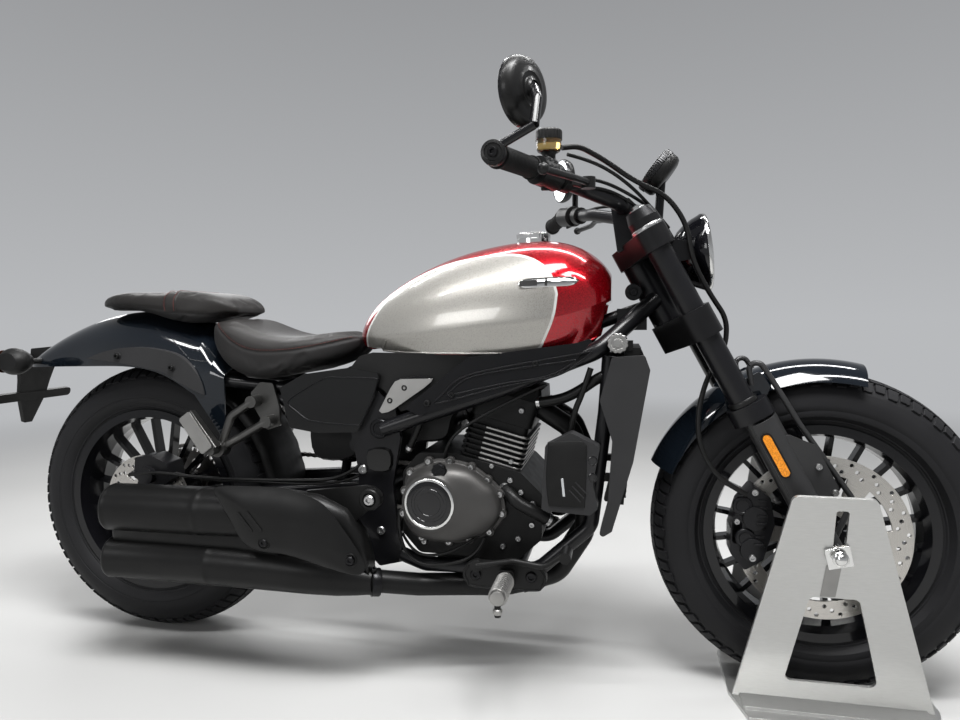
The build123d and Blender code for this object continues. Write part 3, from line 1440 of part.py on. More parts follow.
POT_FOOT, POT_H, POT_LID_H = 39.0, 30.0, 9.0
with BuildPart() as fluid_reservoir:
    spot = along(right_bar[2], right_bar[3], 0.72)
    with BuildSketch(Plane(origin=(spot[0], spot[1], spot[2] + 20), z_dir=(0, 0, 1))):
        RectangleRounded(30, 26, 6)
    extrude(amount=POT_FOOT - 20)
    add(bar_sleeve(2, 0.55, 1.0, SWITCH_R + SEAT_GAP), mode=Mode.SUBTRACT)
    with BuildSketch(Plane(origin=(spot[0], spot[1], spot[2] + POT_FOOT), z_dir=(0, 0, 1))):
        RectangleRounded(44, 42, 10)
    extrude(amount=POT_H)
    with BuildSketch(Plane(origin=(spot[0], spot[1], spot[2] + POT_FOOT + POT_H), z_dir=(0, 0, 1))):
        RectangleRounded(48, 46, 10)
    extrude(amount=POT_LID_H)
keep("fluid_reservoir", fluid_reservoir)

# Bar-end mirrors: a clamp on the bar's end, a cranked arm and a round head
MIRROR = (CX + 948, -360.0, 1112.0)
MIRROR_R, MIRROR_BACK_T, MIRROR_LIP_T = 56.0, 14.0, 6.0
MIRROR_CLAMP_R = 19.0
MIRROR_TURN = 27.0
back = (cos(radians(MIRROR_TURN)), -sin(radians(MIRROR_TURN)), 0)
with BuildPart() as mirrors:
    with BuildSketch(side(-BAR_HALF + MIRROR_CLAMP)):
        with Locations((right_bar[4][0], right_bar[4][2])):
            Circle(MIRROR_CLAMP_R)
    extrude(amount=MIRROR_CLAMP)
    elbow = (CX + 976, -424.0, 1040.0)
    socket = tuple(m + 24 * b for m, b in zip(MIRROR, back))
    add(tube([(right_bar[4][0], -BAR_HALF + 7, right_bar[4][2] + 6), elbow], 6.8, 1))
    add(tube([elbow, (CX + 978, -400, 1088), socket], 8, 14))
    with BuildSketch(Plane(origin=MIRROR, x_dir=(0, 0, 1), z_dir=back)):
        Circle(MIRROR_R)
    extrude(amount=MIRROR_BACK_T, taper=24)
    with BuildSketch(Plane(origin=MIRROR, x_dir=(0, 0, 1), z_dir=back)):
        Circle(MIRROR_R)
    extrude(amount=-MIRROR_LIP_T)
    add(tube([tuple(m + 8 * b for m, b in zip(MIRROR, back)), socket], 12, 1))
    mirror(about=Plane.XZ)
keep("mirrors", mirrors)

# Brake hose, from the master cylinder to the front caliper
HOSE_R = 5.0
BEND_SHARE = 0.45
HOSE_ROUTE = [  # x, y, z
    (998, -206, 1058), (1028, -186, 1064), (1072, -154, 1044), (1126, -118, 1010),
    (1190, -88, 984), (1228, -78, 930), (1238, -82, 862), (1268, -78, 800), (1306, -68, 744),
    (1304, -68, 690), (1268, -84, 630), (1250, -100, 566), (1252, -107, 500), (1286, -108, 440),
    (1340, -106.5, 408),
]


def bend_radii(points):
    """For each corner, a share of the shorter run, divided by the tangent of half the turn."""
    radii = []
    for before, corner, after in zip(points, points[1:], points[2:]):
        arriving, leaving = Vector(corner) - Vector(before), Vector(after) - Vector(corner)
        reach = BEND_SHARE * min(arriving.length, leaving.length)
        radii.append(reach / tan(radians(arriving.get_angle(leaving)) / 2))
    return radii


hose_points = [(CX + x, y, z) for x, y, z in HOSE_ROUTE]
hose_radii = bend_radii(hose_points)
print("hose radii", [round(radius) for radius in hose_radii])
with BuildPart() as brake_hose:
    with BuildLine() as route:
        FilletPolyline(*hose_points, radius=hose_radii)
    with BuildSketch(Plane(origin=route.line @ 0, z_dir=route.line % 0)):
        Circle(HOSE_R)
    sweep()
hose_length = sum(edge.length for edge in route.line.edges())
print("hose volume", round(brake_hose.part.volume), "expected", round(pi * HOSE_R**2 * hose_length))
keep("brake_hose", brake_hose)

# Display stand: a floor plate round the tyre, two leaning side plates and the axle bolts
BASE_REAR, BASE_FRONT = -170.0, 205.0
BASE_END_HALF = 86.0
BASE_OPENING = 168.0
FLOOR_BOLT_R = 5.5
with BuildPart() as stand_base:
    with BuildSketch(across(FRONT_X, 0)) as plan:
        with BuildLine():
            Polyline(
                (BASE_REAR, -BASE_END_HALF), (BASE_REAR + 23, -STAND_HALF),
                (BASE_FRONT - 28, -STAND_HALF), (BASE_FRONT, -BASE_END_HALF),
                (BASE_FRONT, BASE_END_HALF), (BASE_FRONT - 28, STAND_HALF),
                (BASE_REAR + 23, STAND_HALF), (BASE_REAR, BASE_END_HALF), close=True,
            )
        make_face()
        RectangleRounded(BASE_OPENING, FRONT_TYRE_W + 16, 10, mode=Mode.SUBTRACT)
        with Locations((16, 0)):
            with GridLocations(296, 104, 2, 2):
                Circle(FLOOR_BOLT_R, mode=Mode.SUBTRACT)
    extrude(amount=STAND_T)
keep("stand_base", stand_base)

STAND_LEAN = atan2(STAND_AXLE_Y - STAND_FOOT_Y, FRONT_TYRE_R - STAND_T)
STAND_AXLE_H = (FRONT_TYRE_R - STAND_T) / cos(STAND_LEAN)
STAND_TOP_H = STAND_AXLE_H + 115.0
STAND_SLOT_W = 21.0
FOOT_W = 56.0
leaning = Plane(
    origin=(FRONT_X, -STAND_FOOT_Y, STAND_T), x_dir=(1, 0, 0),
    z_dir=(0, -cos(STAND_LEAN), -sin(STAND_LEAN)),
)
with BuildPart() as stand_plates:
    with BuildSketch(leaning) as sheet:
        with BuildLine():
            Polyline((-164, 0), (193, 0), (53, STAND_TOP_H), (-83, STAND_TOP_H), close=True)
        make_face()
        with BuildLine():
            Polyline((-73, 46), (92, 46), (43, 236), (-41, 236), close=True)
        make_face(mode=Mode.SUBTRACT)
        fillet(sheet.vertices().filter_by_position(Axis.Y, 40, STAND_TOP_H), 13)
        with Locations((0, STAND_AXLE_H + 35)):
            RectangleRounded(STAND_SLOT_W, 110, 5, mode=Mode.SUBTRACT)
    extrude(amount=-STAND_T)
    foot_y = -STAND_FOOT_Y - FOOT_W / 2 + STAND_T
    with BuildSketch(Plane(origin=(FRONT_X + 14, foot_y, STAND_T), z_dir=(0, 0, 1))):
        RectangleRounded(330, FOOT_W, 6)
    extrude(amount=STAND_T)
    mirror(about=Plane.XZ)
keep("stand_plates", stand_plates)

AXLE_BOLT_R, AXLE_SLEEVE_R = 8.0, 15.0
WASHER_W, WASHER_T, WASHER_TURN = 42.0, 5.0, 15.0
NUT_R, NUT_T = 13.0, 8.0
bolt_face = leaning.offset(SEAT_GAP)
with BuildPart() as stand_bolts:
    with BuildSketch(side(-AXLE_END)):
        with Locations((FRONT_X, FRONT_TYRE_R)):
            Circle(AXLE_BOLT_R)
    extrude(amount=STAND_AXLE_Y - AXLE_END + 12)
    with BuildSketch(side(-AXLE_END)):
        with Locations((FRONT_X, FRONT_TYRE_R)):
            Circle(AXLE_SLEEVE_R)
    extrude(amount=STAND_AXLE_Y - AXLE_END - STAND_T - 5)
    with BuildSketch(bolt_face):
        with Locations((0, STAND_AXLE_H)):
            RectangleRounded(WASHER_W, WASHER_W, 2, rotation=WASHER_TURN)
    extrude(amount=WASHER_T)
    with BuildSketch(bolt_face.offset(WASHER_T)):
        with Locations((0, STAND_AXLE_H)):
            RegularPolygon(NUT_R, 6)
    extrude(amount=NUT_T)
    mirror(about=Plane.XZ)
keep("stand_bolts", stand_bolts)

for label, piece in pieces.items():
    box = piece.bounding_box()
    if box.min.Z < -0.01:
        print("below the floor:", label, round(box.min.Z, 2))

print("wheelbase", round(WHEELBASE, 1), "rear axle", round(REAR_X, 1))
for label, piece in pieces.items():
    export_step(piece, f"parts/{label}.step")
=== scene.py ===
# %% [markdown]
# A cruiser motorcycle is hundreds of parts bolted to one frame. The sizes, the joints and the
# closed solids come in as a fixed frame. What Blender adds is the look of each surface, the
# tread, the stitched leather and the small fasteners. The frame is never moved or reshaped:
# a part whose look needs another form is hidden, and a finer mesh stands where it was.

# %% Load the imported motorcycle
import json
import math

import bmesh
import bpy
from mathutils import Matrix, Vector
from mathutils.bvhtree import BVHTree


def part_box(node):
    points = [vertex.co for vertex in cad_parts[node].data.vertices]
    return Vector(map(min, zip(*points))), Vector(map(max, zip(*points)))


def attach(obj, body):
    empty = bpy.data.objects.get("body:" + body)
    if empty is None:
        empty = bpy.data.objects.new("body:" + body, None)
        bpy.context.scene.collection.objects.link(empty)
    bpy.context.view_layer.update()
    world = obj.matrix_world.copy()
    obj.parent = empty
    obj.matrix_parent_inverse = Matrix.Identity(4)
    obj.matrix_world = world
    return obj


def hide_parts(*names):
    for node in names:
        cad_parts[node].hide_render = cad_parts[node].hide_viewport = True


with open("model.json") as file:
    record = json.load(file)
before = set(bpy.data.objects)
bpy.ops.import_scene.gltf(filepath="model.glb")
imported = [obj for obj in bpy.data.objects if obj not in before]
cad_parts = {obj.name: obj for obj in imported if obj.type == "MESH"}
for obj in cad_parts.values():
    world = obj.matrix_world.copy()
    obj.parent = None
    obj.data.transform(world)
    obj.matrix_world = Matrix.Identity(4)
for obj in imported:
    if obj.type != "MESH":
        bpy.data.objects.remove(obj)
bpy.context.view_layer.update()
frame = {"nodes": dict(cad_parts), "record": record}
scene = bpy.context.scene
scene.view_settings.view_transform = "Standard"
MM = 0.001

# %% [markdown]
# The photograph was taken from the right side, at chest height, with a wide lens. Its place
# was worked out from the two wheels. Three direction vectors say how the camera was held, and
# they are easier to check than a chain of turns.

# %% Camera at the photograph's angle
CAMERA_AT = Vector((0.4202, -1.4585, 0.7443))
CAMERA_RIGHT = Vector((0.97750, 0.21076, -0.00850))
CAMERA_UP = Vector((-0.00389, 0.05828, 0.99829))
CAMERA_FORWARD = Vector((-0.21090, 0.97580, -0.05778))
LENS_MM, SENSOR_MM = 25.29, 36.0


def make_camera():
    """A camera that stands and points as the photograph's did."""
    camera = bpy.data.objects.new("camera", bpy.data.cameras.new("camera"))
    camera.data.lens, camera.data.sensor_width = LENS_MM, SENSOR_MM
    turn = Matrix((CAMERA_RIGHT, CAMERA_UP, -CAMERA_FORWARD)).transposed().to_4x4()
    camera.matrix_world = Matrix.Translation(CAMERA_AT) @ turn
    scene.collection.objects.link(camera)
    scene.camera = camera


make_camera()
print("lens", LENS_MM, "mm at", tuple(round(v, 2) for v in CAMERA_AT))

# %% [markdown]
# Materials come next, because every piece needs one. Each is a small tree of nodes on one
# shader, and a helper adds a node, sets it and links it in one line. Textures use object
# coordinates, in metres, so a scale of 900 is a grain of about a millimetre, and the pattern
# stays put when a wheel turns.

# %% Helpers for node trees
BASE_SPECULAR = 0.22
finish = {}


def node(tree, kind, sockets=None, **settings):
    """Adds a shader node; a socket's value is either a number or another node's output."""
    made = tree.nodes.new("ShaderNode" + kind)
    for key, value in settings.items():
        setattr(made, key, value)
    for key, value in (sockets or {}).items():
        if isinstance(value, bpy.types.NodeSocket):
            tree.links.new(value, made.inputs[key])
        else:
            made.inputs[key].default_value = value
    return made


def place_of(tree):
    """Where a point lies on the machine, in metres."""
    return node(tree, "TexCoord").outputs["Object"]


def cloudy(tree, place, scale, detail):
    """A noise texture as one number."""
    return node(tree, "TexNoise", {"Vector": place, "Scale": scale, "Detail": detail}).outputs[0]


def blank(name, colour, rough, metal=0.0, coat=0.0):
    """A finish, kept under its name, with its even values set on the shader's own sockets."""
    material = bpy.data.materials.new(name)
    material.use_nodes = True
    tree = material.node_tree
    shader = tree.nodes["Principled BSDF"]
    shader.inputs["Base Color"].default_value = (*colour, 1)
    shader.inputs["Roughness"].default_value = rough
    shader.inputs["Metallic"].default_value = metal
    shader.inputs["Coat Weight"].default_value = coat
    shader.inputs["Coat Roughness"].default_value = 0.06
    shader.inputs["Specular IOR Level"].default_value = 0.5 if metal > 0.8 else BASE_SPECULAR
    finish[name] = material
    return tree, shader


def shades(colour, spread):
    """The colour made a little darker and a little lighter."""
    dark = [max(0.0, c * (1 - spread)) for c in colour]
    light = [min(1.0, c * (1 + spread)) for c in colour]
    return (*dark, 1), (*light, 1)


def tinted(tree, shader, factor, colour, spread):
    """Runs the base colour between its two shades, by a factor from a texture."""
    dark, light = shades(colour, spread)
    mix = node(tree, "Mix", {"Factor": factor, 6: dark, 7: light}, data_type="RGBA")
    tree.links.new(mix.outputs[2], shader.inputs["Base Color"])


def roughened(tree, shader, factor, rough, spread):
    """Runs the roughness between two values, by a factor from a texture."""
    low, high = max(0.02, rough - spread), min(1.0, rough + spread)
    ranged = node(tree, "MapRange", {"Value": factor, "To Min": low, "To Max": high})
    tree.links.new(ranged.outputs[0], shader.inputs["Roughness"])


def bumped(tree, shader, height, strength, depth, soften=0.0008):
    """Raises a bump from a height, over edges that are softened a little."""
    edge = node(tree, "Bevel", {"Radius": soften}, samples=3)
    bump = node(tree, "Bump", {"Height": height, "Strength": strength, "Distance": depth,
                               "Normal": edge.outputs[0]})
    tree.links.new(bump.outputs[0], shader.inputs["Normal"])


# %% [markdown]
# Paint, cast metal and moulded plastic differ in a few numbers: how far the colour drifts, how
# coarse the grain is and how deep it goes. One function with a table serves them all. Each row
# is set against the photograph: satin frame paint, gloss wheels, matte grey mouldings.

# %% Paints, castings and plastics
def grained(name, colour, rough, metal, coat, drift, grain, depth):
    """A surface whose colour and gloss drift slowly, under a fine even grain."""
    tree, shader = blank(name, colour, rough, metal, coat)
    place = place_of(tree)
    tinted(tree, shader, cloudy(tree, place, 14.0, 5.0), colour, drift)
    roughened(tree, shader, cloudy(tree, place, 46.0, 3.0), rough, 0.25 * rough)
    bumped(tree, shader, cloudy(tree, place, grain, 2.0), 0.6, depth * MM)


FINISHES = [  # slot, colour, roughness, metallic, coat, colour drift, grain per metre, depth in mm
    ("black_wheel", (0.004, 0.004, 0.005), 0.20, 0.0, 0.30, 0.25, 500, 0.010),
    ("frame_black", (0.005, 0.005, 0.006), 0.34, 0.0, 0.15, 0.30, 900, 0.020),
    ("shock_black", (0.007, 0.007, 0.008), 0.26, 0.0, 0.30, 0.25, 700, 0.010),
    ("engine_black", (0.006, 0.006, 0.006), 0.46, 0.2, 0.0, 0.40, 620, 0.090),
    ("cover_grey", (0.075, 0.073, 0.071), 0.46, 0.7, 0.0, 0.25, 520, 0.070),
    ("radiator_black", (0.006, 0.006, 0.006), 0.50, 0.2, 0.0, 0.30, 500, 0.030),
    ("trim_grey", (0.026, 0.026, 0.027), 0.48, 0.1, 0.0, 0.22, 1100, 0.050),
    ("polished_metal", (0.66, 0.66, 0.65), 0.13, 1.0, 0.0, 0.06, 300, 0.010),
    ("fender_black", (0.004, 0.006, 0.009), 0.10, 0.0, 0.9, 0.20, 240, 0.004),
    ("cover_black", (0.003, 0.003, 0.003), 0.14, 0.0, 0.4, 0.20, 240, 0.004),
    ("tail_black", (0.006, 0.006, 0.006), 0.50, 0.0, 0.0, 0.25, 1300, 0.060),
    ("exhaust_black", (0.009, 0.009, 0.009), 0.36, 0.3, 0.0, 0.30, 900, 0.050),
    ("peg_metal", (0.016, 0.016, 0.016), 0.38, 0.5, 0.0, 0.25, 700, 0.060),
    ("peg_bright", (0.300, 0.295, 0.285), 0.36, 0.9, 0.0, 0.25, 700, 0.060),
    ("caliper_black", (0.008, 0.008, 0.009), 0.34, 0.2, 0.1, 0.30, 800, 0.050),
    ("clamp_grey", (0.016, 0.016, 0.017), 0.34, 0.6, 0.0, 0.20, 900, 0.050),
    ("guard_grey", (0.045, 0.045, 0.046), 0.42, 0.5, 0.0, 0.18, 900, 0.040),
    ("dark_metal", (0.012, 0.012, 0.013), 0.32, 0.7, 0.1, 0.20, 900, 0.030),
    ("strut_metal", (0.085, 0.084, 0.081), 0.34, 0.9, 0.0, 0.22, 700, 0.040),
    # painted shadow: a darker grey for the strips laid flat on the stand's plates
    ("shadow_strip_grey", (0.260, 0.257, 0.250), 0.40, 0.9, 0.0, 0.14, 700, 0.030),
    ("plate_alloy", (0.360, 0.355, 0.345), 0.36, 0.95, 0.0, 0.10, 900, 0.040),
    ("control_black", (0.006, 0.006, 0.006), 0.38, 0.0, 0.1, 0.25, 1200, 0.060),
    ("mirror_black", (0.005, 0.005, 0.006), 0.24, 0.0, 0.3, 0.20, 500, 0.010),
    ("hose_rubber", (0.006, 0.006, 0.006), 0.40, 0.0, 0.0, 0.25, 1500, 0.040),
    ("grip_rubber", (0.007, 0.007, 0.007), 0.70, 0.0, 0.0, 0.25, 1500, 0.080),
    ("dial_grey", (0.024, 0.024, 0.025), 0.26, 0.8, 0.2, 0.15, 900, 0.020),
    ("lamp_glass", (0.003, 0.003, 0.004), 0.10, 0.0, 0.5, 0.20, 240, 0.004),
]
for row in FINISHES:
    grained(*row)
print("grained finishes", len(finish))

# %% [markdown]
# Ground steel shows fine parallel scratches. Stretching a noise along one direction makes
# them. On a brake disc the scratches are circles, so there the noise is read from the distance
# to the axle instead.

# %% Brushed and turned steel
def brushed(name, colour, rough, stretch, metal=1.0):
    """Metal scratched along the axis whose stretch is small."""
    tree, shader = blank(name, colour, rough, metal)
    stretched = node(tree, "Mapping", {"Vector": place_of(tree), "Scale": stretch})
    lines = cloudy(tree, stretched.outputs[0], 1.0, 3.0)
    tinted(tree, shader, lines, colour, 0.10)
    roughened(tree, shader, lines, rough, 0.10)
    bumped(tree, shader, lines, 0.35, 0.02 * MM)


def rings_round(tree, place, axle, scale, detail):
    """A noise read from the distance to an axle, so that it makes circles."""
    local = node(tree, "VectorMath", {0: place, 1: (axle.x, 0, axle.z)}, operation="SUBTRACT")
    flat = node(tree, "VectorMath", {0: local.outputs[0], 1: (1, 0, 1)}, operation="MULTIPLY")
    reach = node(tree, "VectorMath", {0: flat.outputs[0]}, operation="LENGTH").outputs["Value"]
    return node(tree, "TexNoise", {"W": reach, "Scale": scale, "Detail": detail},
                noise_dimensions="1D").outputs[0]


def turned(name, colour, rough, axle):
    """Metal turned or ground in circles round an axle."""
    tree, shader = blank(name, colour, rough, 1.0)
    rings = rings_round(tree, place_of(tree), axle, 1400.0, 2.0)
    tinted(tree, shader, rings, colour, 0.16)
    roughened(tree, shader, rings, rough, 0.12)
    bumped(tree, shader, rings, 0.3, 0.02 * MM)


def middle(name):
    """The middle of a node's box."""
    low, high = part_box(name)
    return (low + high) / 2


front_axle, rear_axle = middle("front_rim"), middle("rear_rim")
brushed("stand_steel", (0.50, 0.50, 0.49), 0.40, (60, 420, 420), 0.9)
brushed("axle_steel", (0.42, 0.42, 0.42), 0.30, (400, 40, 400))
brushed("chain_steel", (0.24, 0.23, 0.22), 0.38, (300, 300, 300))
turned("front_disc_steel", (0.52, 0.50, 0.47), 0.30, front_axle)
turned("rear_disc_steel", (0.52, 0.50, 0.47), 0.30, rear_axle)
print("front axle", tuple(round(v, 4) for v in front_axle))

# %% [markdown]
# Candy paint is a clear coat over a tinted coat full of metal flakes. A cell texture gives
# each flake its own brightness, and the coat adds the sharp reflections on top. The silver
# panel is the same build in a warm grey.

# %% Candy red and warm silver
def candy(name, colour, rough, metal, sparkle):
    """Flake paint under a clear coat."""
    tree, shader = blank(name, colour, rough, metal, 1.0)
    place = place_of(tree)
    flakes = node(tree, "TexVoronoi", {"Vector": place, "Scale": 1600.0}).outputs["Color"]
    flake = node(tree, "SeparateColor", {"Color": flakes}).outputs[0]
    cloud = cloudy(tree, place, 5.0, 3.0)
    blend = node(tree, "Math", {0: flake, 1: 0.55}, operation="MULTIPLY").outputs[0]
    total = node(tree, "Math", {0: cloud, 1: 0.45, 2: blend}, operation="MULTIPLY_ADD")
    tinted(tree, shader, total.outputs[0], colour, sparkle)
    roughened(tree, shader, flake, rough, 0.08)
    bumped(tree, shader, cloud, 0.05, 0.1 * MM, 0.0012)


candy("tank_red", (0.34, 0.001, 0.007), 0.27, 0.75, 0.35)
candy("tank_silver", (0.36, 0.348, 0.322), 0.34, 0.60, 0.16)
candy("pinstripe", (0.66, 0.66, 0.64), 0.34, 0.20, 0.05)
print("candy finishes", [k for k in finish if k.startswith("tank")])

# %% [markdown]
# Rubber is dark but not black: it scatters light from a fine dusty surface. The sidewall also
# shows moulded circles, which the height reads from the distance to the axle.

# %% Tyre rubber
def tyre_rubber(name, axle):
    """Dull rubber with moulded rings on its sidewalls."""
    colour, rough = (0.009, 0.009, 0.010), 0.60
    tree, shader = blank(name, colour, rough)
    place = place_of(tree)
    dust, grain = cloudy(tree, place, 9.0, 6.0), cloudy(tree, place, 1100.0, 2.0)
    tinted(tree, shader, dust, colour, 0.45)
    roughened(tree, shader, dust, rough, 0.10)
    rings = rings_round(tree, place, axle, 150.0, 1.0)
    height = node(tree, "Math", {0: rings, 1: 0.35, 2: grain}, operation="MULTIPLY_ADD")
    bumped(tree, shader, height.outputs[0], 0.5, 0.25 * MM, 0.0006)


tyre_rubber("front_rubber", front_axle)
tyre_rubber("rear_rubber", rear_axle)
print("rubbers", 2)

# %% [markdown]
# Leather is cells of skin between fine creases. A cell texture's distance to the nearest edge
# gives the creases. The seat's sides have a coarser grain than its smooth top panels.

# %% Leather and thread
def leather(name, colour, rough, cells, depth):
    """Grained leather, darker in its creases as painted shade, with a slow mottle of wear."""
    tree, shader = blank(name, colour, rough)
    place = place_of(tree)
    warp = node(tree, "TexNoise", {"Vector": place, "Scale": cells * 0.4, "Detail": 2.0})
    moved = node(tree, "VectorMath", {0: warp.outputs["Color"], "Scale": 0.0012},
                 operation="SCALE")
    bent = node(tree, "VectorMath", {0: place, 1: moved.outputs[0]}, operation="ADD")
    creases = node(tree, "TexVoronoi", {"Vector": bent.outputs[0], "Scale": cells},
                   feature="DISTANCE_TO_EDGE")
    cell = node(tree, "MapRange", {"Value": creases.outputs[0], "From Max": 0.22})
    wear = cloudy(tree, place, 11.0, 4.0)
    # Painted shade: the colour darkens into the creases, and a random wear mottle is added to it.
    shade = node(tree, "Math", {0: cell.outputs[0], 1: 0.5, 2: wear}, operation="MULTIPLY_ADD")
    tinted(tree, shader, shade.outputs[0], colour, 0.28)
    roughened(tree, shader, wear, rough, 0.08)
    bumped(tree, shader, cell.outputs[0], 0.55, depth * MM)
    shader.inputs["Sheen Weight"].default_value = 0.02


leather("seat_leather", (0.013, 0.012, 0.0115), 0.44, 620.0, 0.12)
# The sides are a darker copy of the top's leather: the darker colour is painted shade for sides
# turned away from the light above, and the coarser grain is their own.
leather("seat_sides", (0.010, 0.0095, 0.0095), 0.56, 380.0, 0.30)
grained("thread", (0.11, 0.028, 0.024), 0.75, 0.0, 0.0, 0.3, 2600, 0.2)
print("leather", "thread")

# %% [markdown]
# Lenses are clear or tinted plastic over something bright. Real transmission costs render
# time, so the small amber and smoked lenses are a coated colour that glows a little, while
# the big headlight and the dial have a true clear cover.

# %% Lenses, mirror glass and the tinted pot
def clear_cover(name, colour, rough, rise):
    """See-through plastic or glass with a sharp surface."""
    tree, shader = blank(name, colour, rough)
    shader.inputs["Transmission Weight"].default_value = 1.0
    shader.inputs["IOR"].default_value = 1.46
    bumped(tree, shader, cloudy(tree, place_of(tree), 60.0, 1.0), 0.1, rise * MM)


def lens_plastic(name, colour):
    """A moulded lens, with its small prisms as a bump."""
    tree, shader = blank(name, colour, 0.16, 0.0, 0.8)
    prisms = node(tree, "TexVoronoi", {"Vector": place_of(tree), "Scale": 420.0},
                  distance="CHEBYCHEV").outputs["Distance"]
    tinted(tree, shader, prisms, colour, 0.5)
    bumped(tree, shader, prisms, 0.6, 0.4 * MM)
    shader.inputs["Emission Color"].default_value = (*colour, 1)
    shader.inputs["Emission Strength"].default_value = 0.12


lens_plastic("lamp_amber", (0.85, 0.25, 0.01))
lens_plastic("lamp_smoke", (0.030, 0.010, 0.005))
clear_cover("clear_lens", (0.98, 0.98, 0.98), 0.02, 0.2)
clear_cover("reservoir_gold", (0.75, 0.52, 0.18), 0.12, 0.3)
grained("mirror_glass", (0.62, 0.64, 0.66), 0.03, 1.0, 0.0, 0.02, 60, 0.001)
print("finishes", len(finish))

# %% [markdown]
# The floor is one plain pale plane. The world gives an even grey light and shows a pale
# background. A large soft lamp and two long ones overhead give the streaks that make paint
# read as gloss.

# %% Floor, background and lamps
FLOOR_SIZE = 24.0
HORIZON, ZENITH = (0.48, 0.49, 0.505), (0.12, 0.12, 0.125)
AMBIENT = 0.10
FLOOR_NEAR, FLOOR_FAR = 1.9, 5.6


def seen_ray(tree):
    """1 for what the camera, a gloss or a glass sees, and 0 for light on the machine."""
    rays = node(tree, "LightPath")
    seen = node(tree, "Math", {0: rays.outputs["Is Camera Ray"], 1: rays.outputs["Is Glossy Ray"]},
                operation="MAXIMUM")
    shown = node(tree, "Math", {0: seen.outputs[0], 1: rays.outputs["Is Transmission Ray"]},
                 operation="MAXIMUM")
    return shown.outputs[0]


def make_floor():
    """A pale concrete floor, with a slow mottle."""
    bpy.ops.mesh.primitive_plane_add(size=FLOOR_SIZE, location=(0, 0, -0.0004))
    floor = bpy.context.object
    floor.name = "floor"
    tree, shader = blank("floor_grey", (0.46, 0.46, 0.46), 0.55)
    place = place_of(tree)
    cloud = cloudy(tree, place, 1.6, 6.0)
    tinted(tree, shader, cloud, (0.46, 0.46, 0.455), 0.06)
    roughened(tree, shader, cloud, 0.5, 0.08)
    reach = node(tree, "VectorMath", {0: place}, operation="LENGTH")
    share = node(tree, "MapRange", {"Value": reach.outputs["Value"], "From Min": FLOOR_NEAR,
                                    "From Max": FLOOR_FAR}, interpolation_type="SMOOTHSTEP")
    far = node(tree, "Math", {0: share.outputs[0], 1: seen_ray(tree)}, operation="MULTIPLY")
    haze = node(tree, "Emission", {"Color": (*HORIZON, 1), "Strength": 1.0})
    mix = node(tree, "MixShader", {0: far.outputs[0], 1: shader.outputs[0], 2: haze.outputs[0]})
    end = next(n for n in tree.nodes if n.type == "OUTPUT_MATERIAL")
    tree.links.new(mix.outputs[0], end.inputs["Surface"])
    floor.data.materials.append(finish["floor_grey"])


def make_world():
    """Even light from all round, with a pale background for the camera and for gloss."""
    world = bpy.data.worlds.new("studio")
    world.use_nodes = True
    scene.world = world
    tree = world.node_tree
    tree.nodes.clear()
    plain = node(tree, "Background", {"Color": (1, 1, 1, 1), "Strength": AMBIENT})
    rise = node(tree, "SeparateXYZ", {"Vector": node(tree, "TexCoord").outputs["Generated"]})
    share = node(tree, "MapRange", {"Value": rise.outputs["Z"], "From Min": 0.0, "From Max": 0.9})
    fade = node(tree, "Mix", {"Factor": share.outputs[0], 6: (*HORIZON, 1), 7: (*ZENITH, 1)},
                data_type="RGBA")
    pale = node(tree, "Background", {"Color": fade.outputs[2], "Strength": 1.0})
    mix = node(tree, "MixShader", {0: seen_ray(tree), 1: plain.outputs[0], 2: pale.outputs[0]})
    node(tree, "OutputWorld", {"Surface": mix.outputs[0]})


LAMPS = [  # name, place, aimed at, width, length, watts
    ("key", (0.7, -1.1, 3.6), (0.1, 0.0, 0.5), 1.5, 1.5, 165),
    ("strip_right", (0.2, -0.9, 2.9), (0.0, 0.0, 0.6), 4.2, 0.16, 70),
    ("strip_left", (0.0, 1.1, 2.9), (0.0, 0.0, 0.6), 4.2, 0.16, 60),
    ("rim", (-2.6, 2.6, 2.4), (0.0, 0.0, 0.5), 1.8, 1.8, 40),
    ("low", (-1.6, -3.2, 1.6), (-0.1, 0.0, 0.4), 1.4, 0.9, 22),
]


def make_lamps():
    """Soft rectangular lamps aimed at the machine."""
    for name, place, aim, width, length, watts in LAMPS:
        lamp = bpy.data.lights.new(name, "AREA")
        lamp.shape, lamp.size, lamp.size_y, lamp.energy = "RECTANGLE", width, length, watts
        holder = bpy.data.objects.new(name, lamp)
        holder.location = place
        toward = Vector(aim) - Vector(place)
        holder.rotation_euler = toward.to_track_quat("-Z", "Y").to_euler()
        scene.collection.objects.link(holder)


make_floor()
make_world()
make_lamps()
print("lamps", len(LAMPS))

# %% [markdown]
# Every carried-over part gets the finish of its record slot, apart from a few that have a
# finish of their own. Some of them are replaced by finer pieces in the cells that follow.

# %% Dress the carried-over parts
slot_of = {part["node"]: part["material_slot"] for part in frame["record"]["subparts"]}
own_finish = {
    "front_tyre": "front_rubber", "rear_tyre": "rear_rubber", "front_disc": "front_disc_steel",
    "rear_disc": "rear_disc_steel", "rear_indicators": "tail_black", "fork_lowers": "guard_grey",
    "frame_covers": "dark_metal", "side_covers": "cover_black", "passenger_pegs": "strut_metal",
}
for name, slot in slot_of.items():
    part = frame["nodes"][name]
    part.data.materials.clear()
    part.data.materials.append(finish[own_finish.get(name, slot)])
print("dressed", len(slot_of))

# %% [markdown]
# The pieces that Blender adds are built in millimetres from the rear axle, and one function
# turns those into metres. Every piece is made from plain lists of points and faces, so several
# small forms can be joined into one object before it is made.

# %% Helpers for pieces
def at(x, y, z):
    """A place given in millimetres: ahead of the rear axle, to the left, and above the floor."""
    return Vector((rear_axle.x + x * MM, y * MM, z * MM))


def placed(name, data, look, body):
    """Links a piece, gives it its finish and lets it ride on a body."""
    piece = bpy.data.objects.new(name, data)
    scene.collection.objects.link(piece)
    data.materials.append(finish[look])
    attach(piece, body)
    return piece


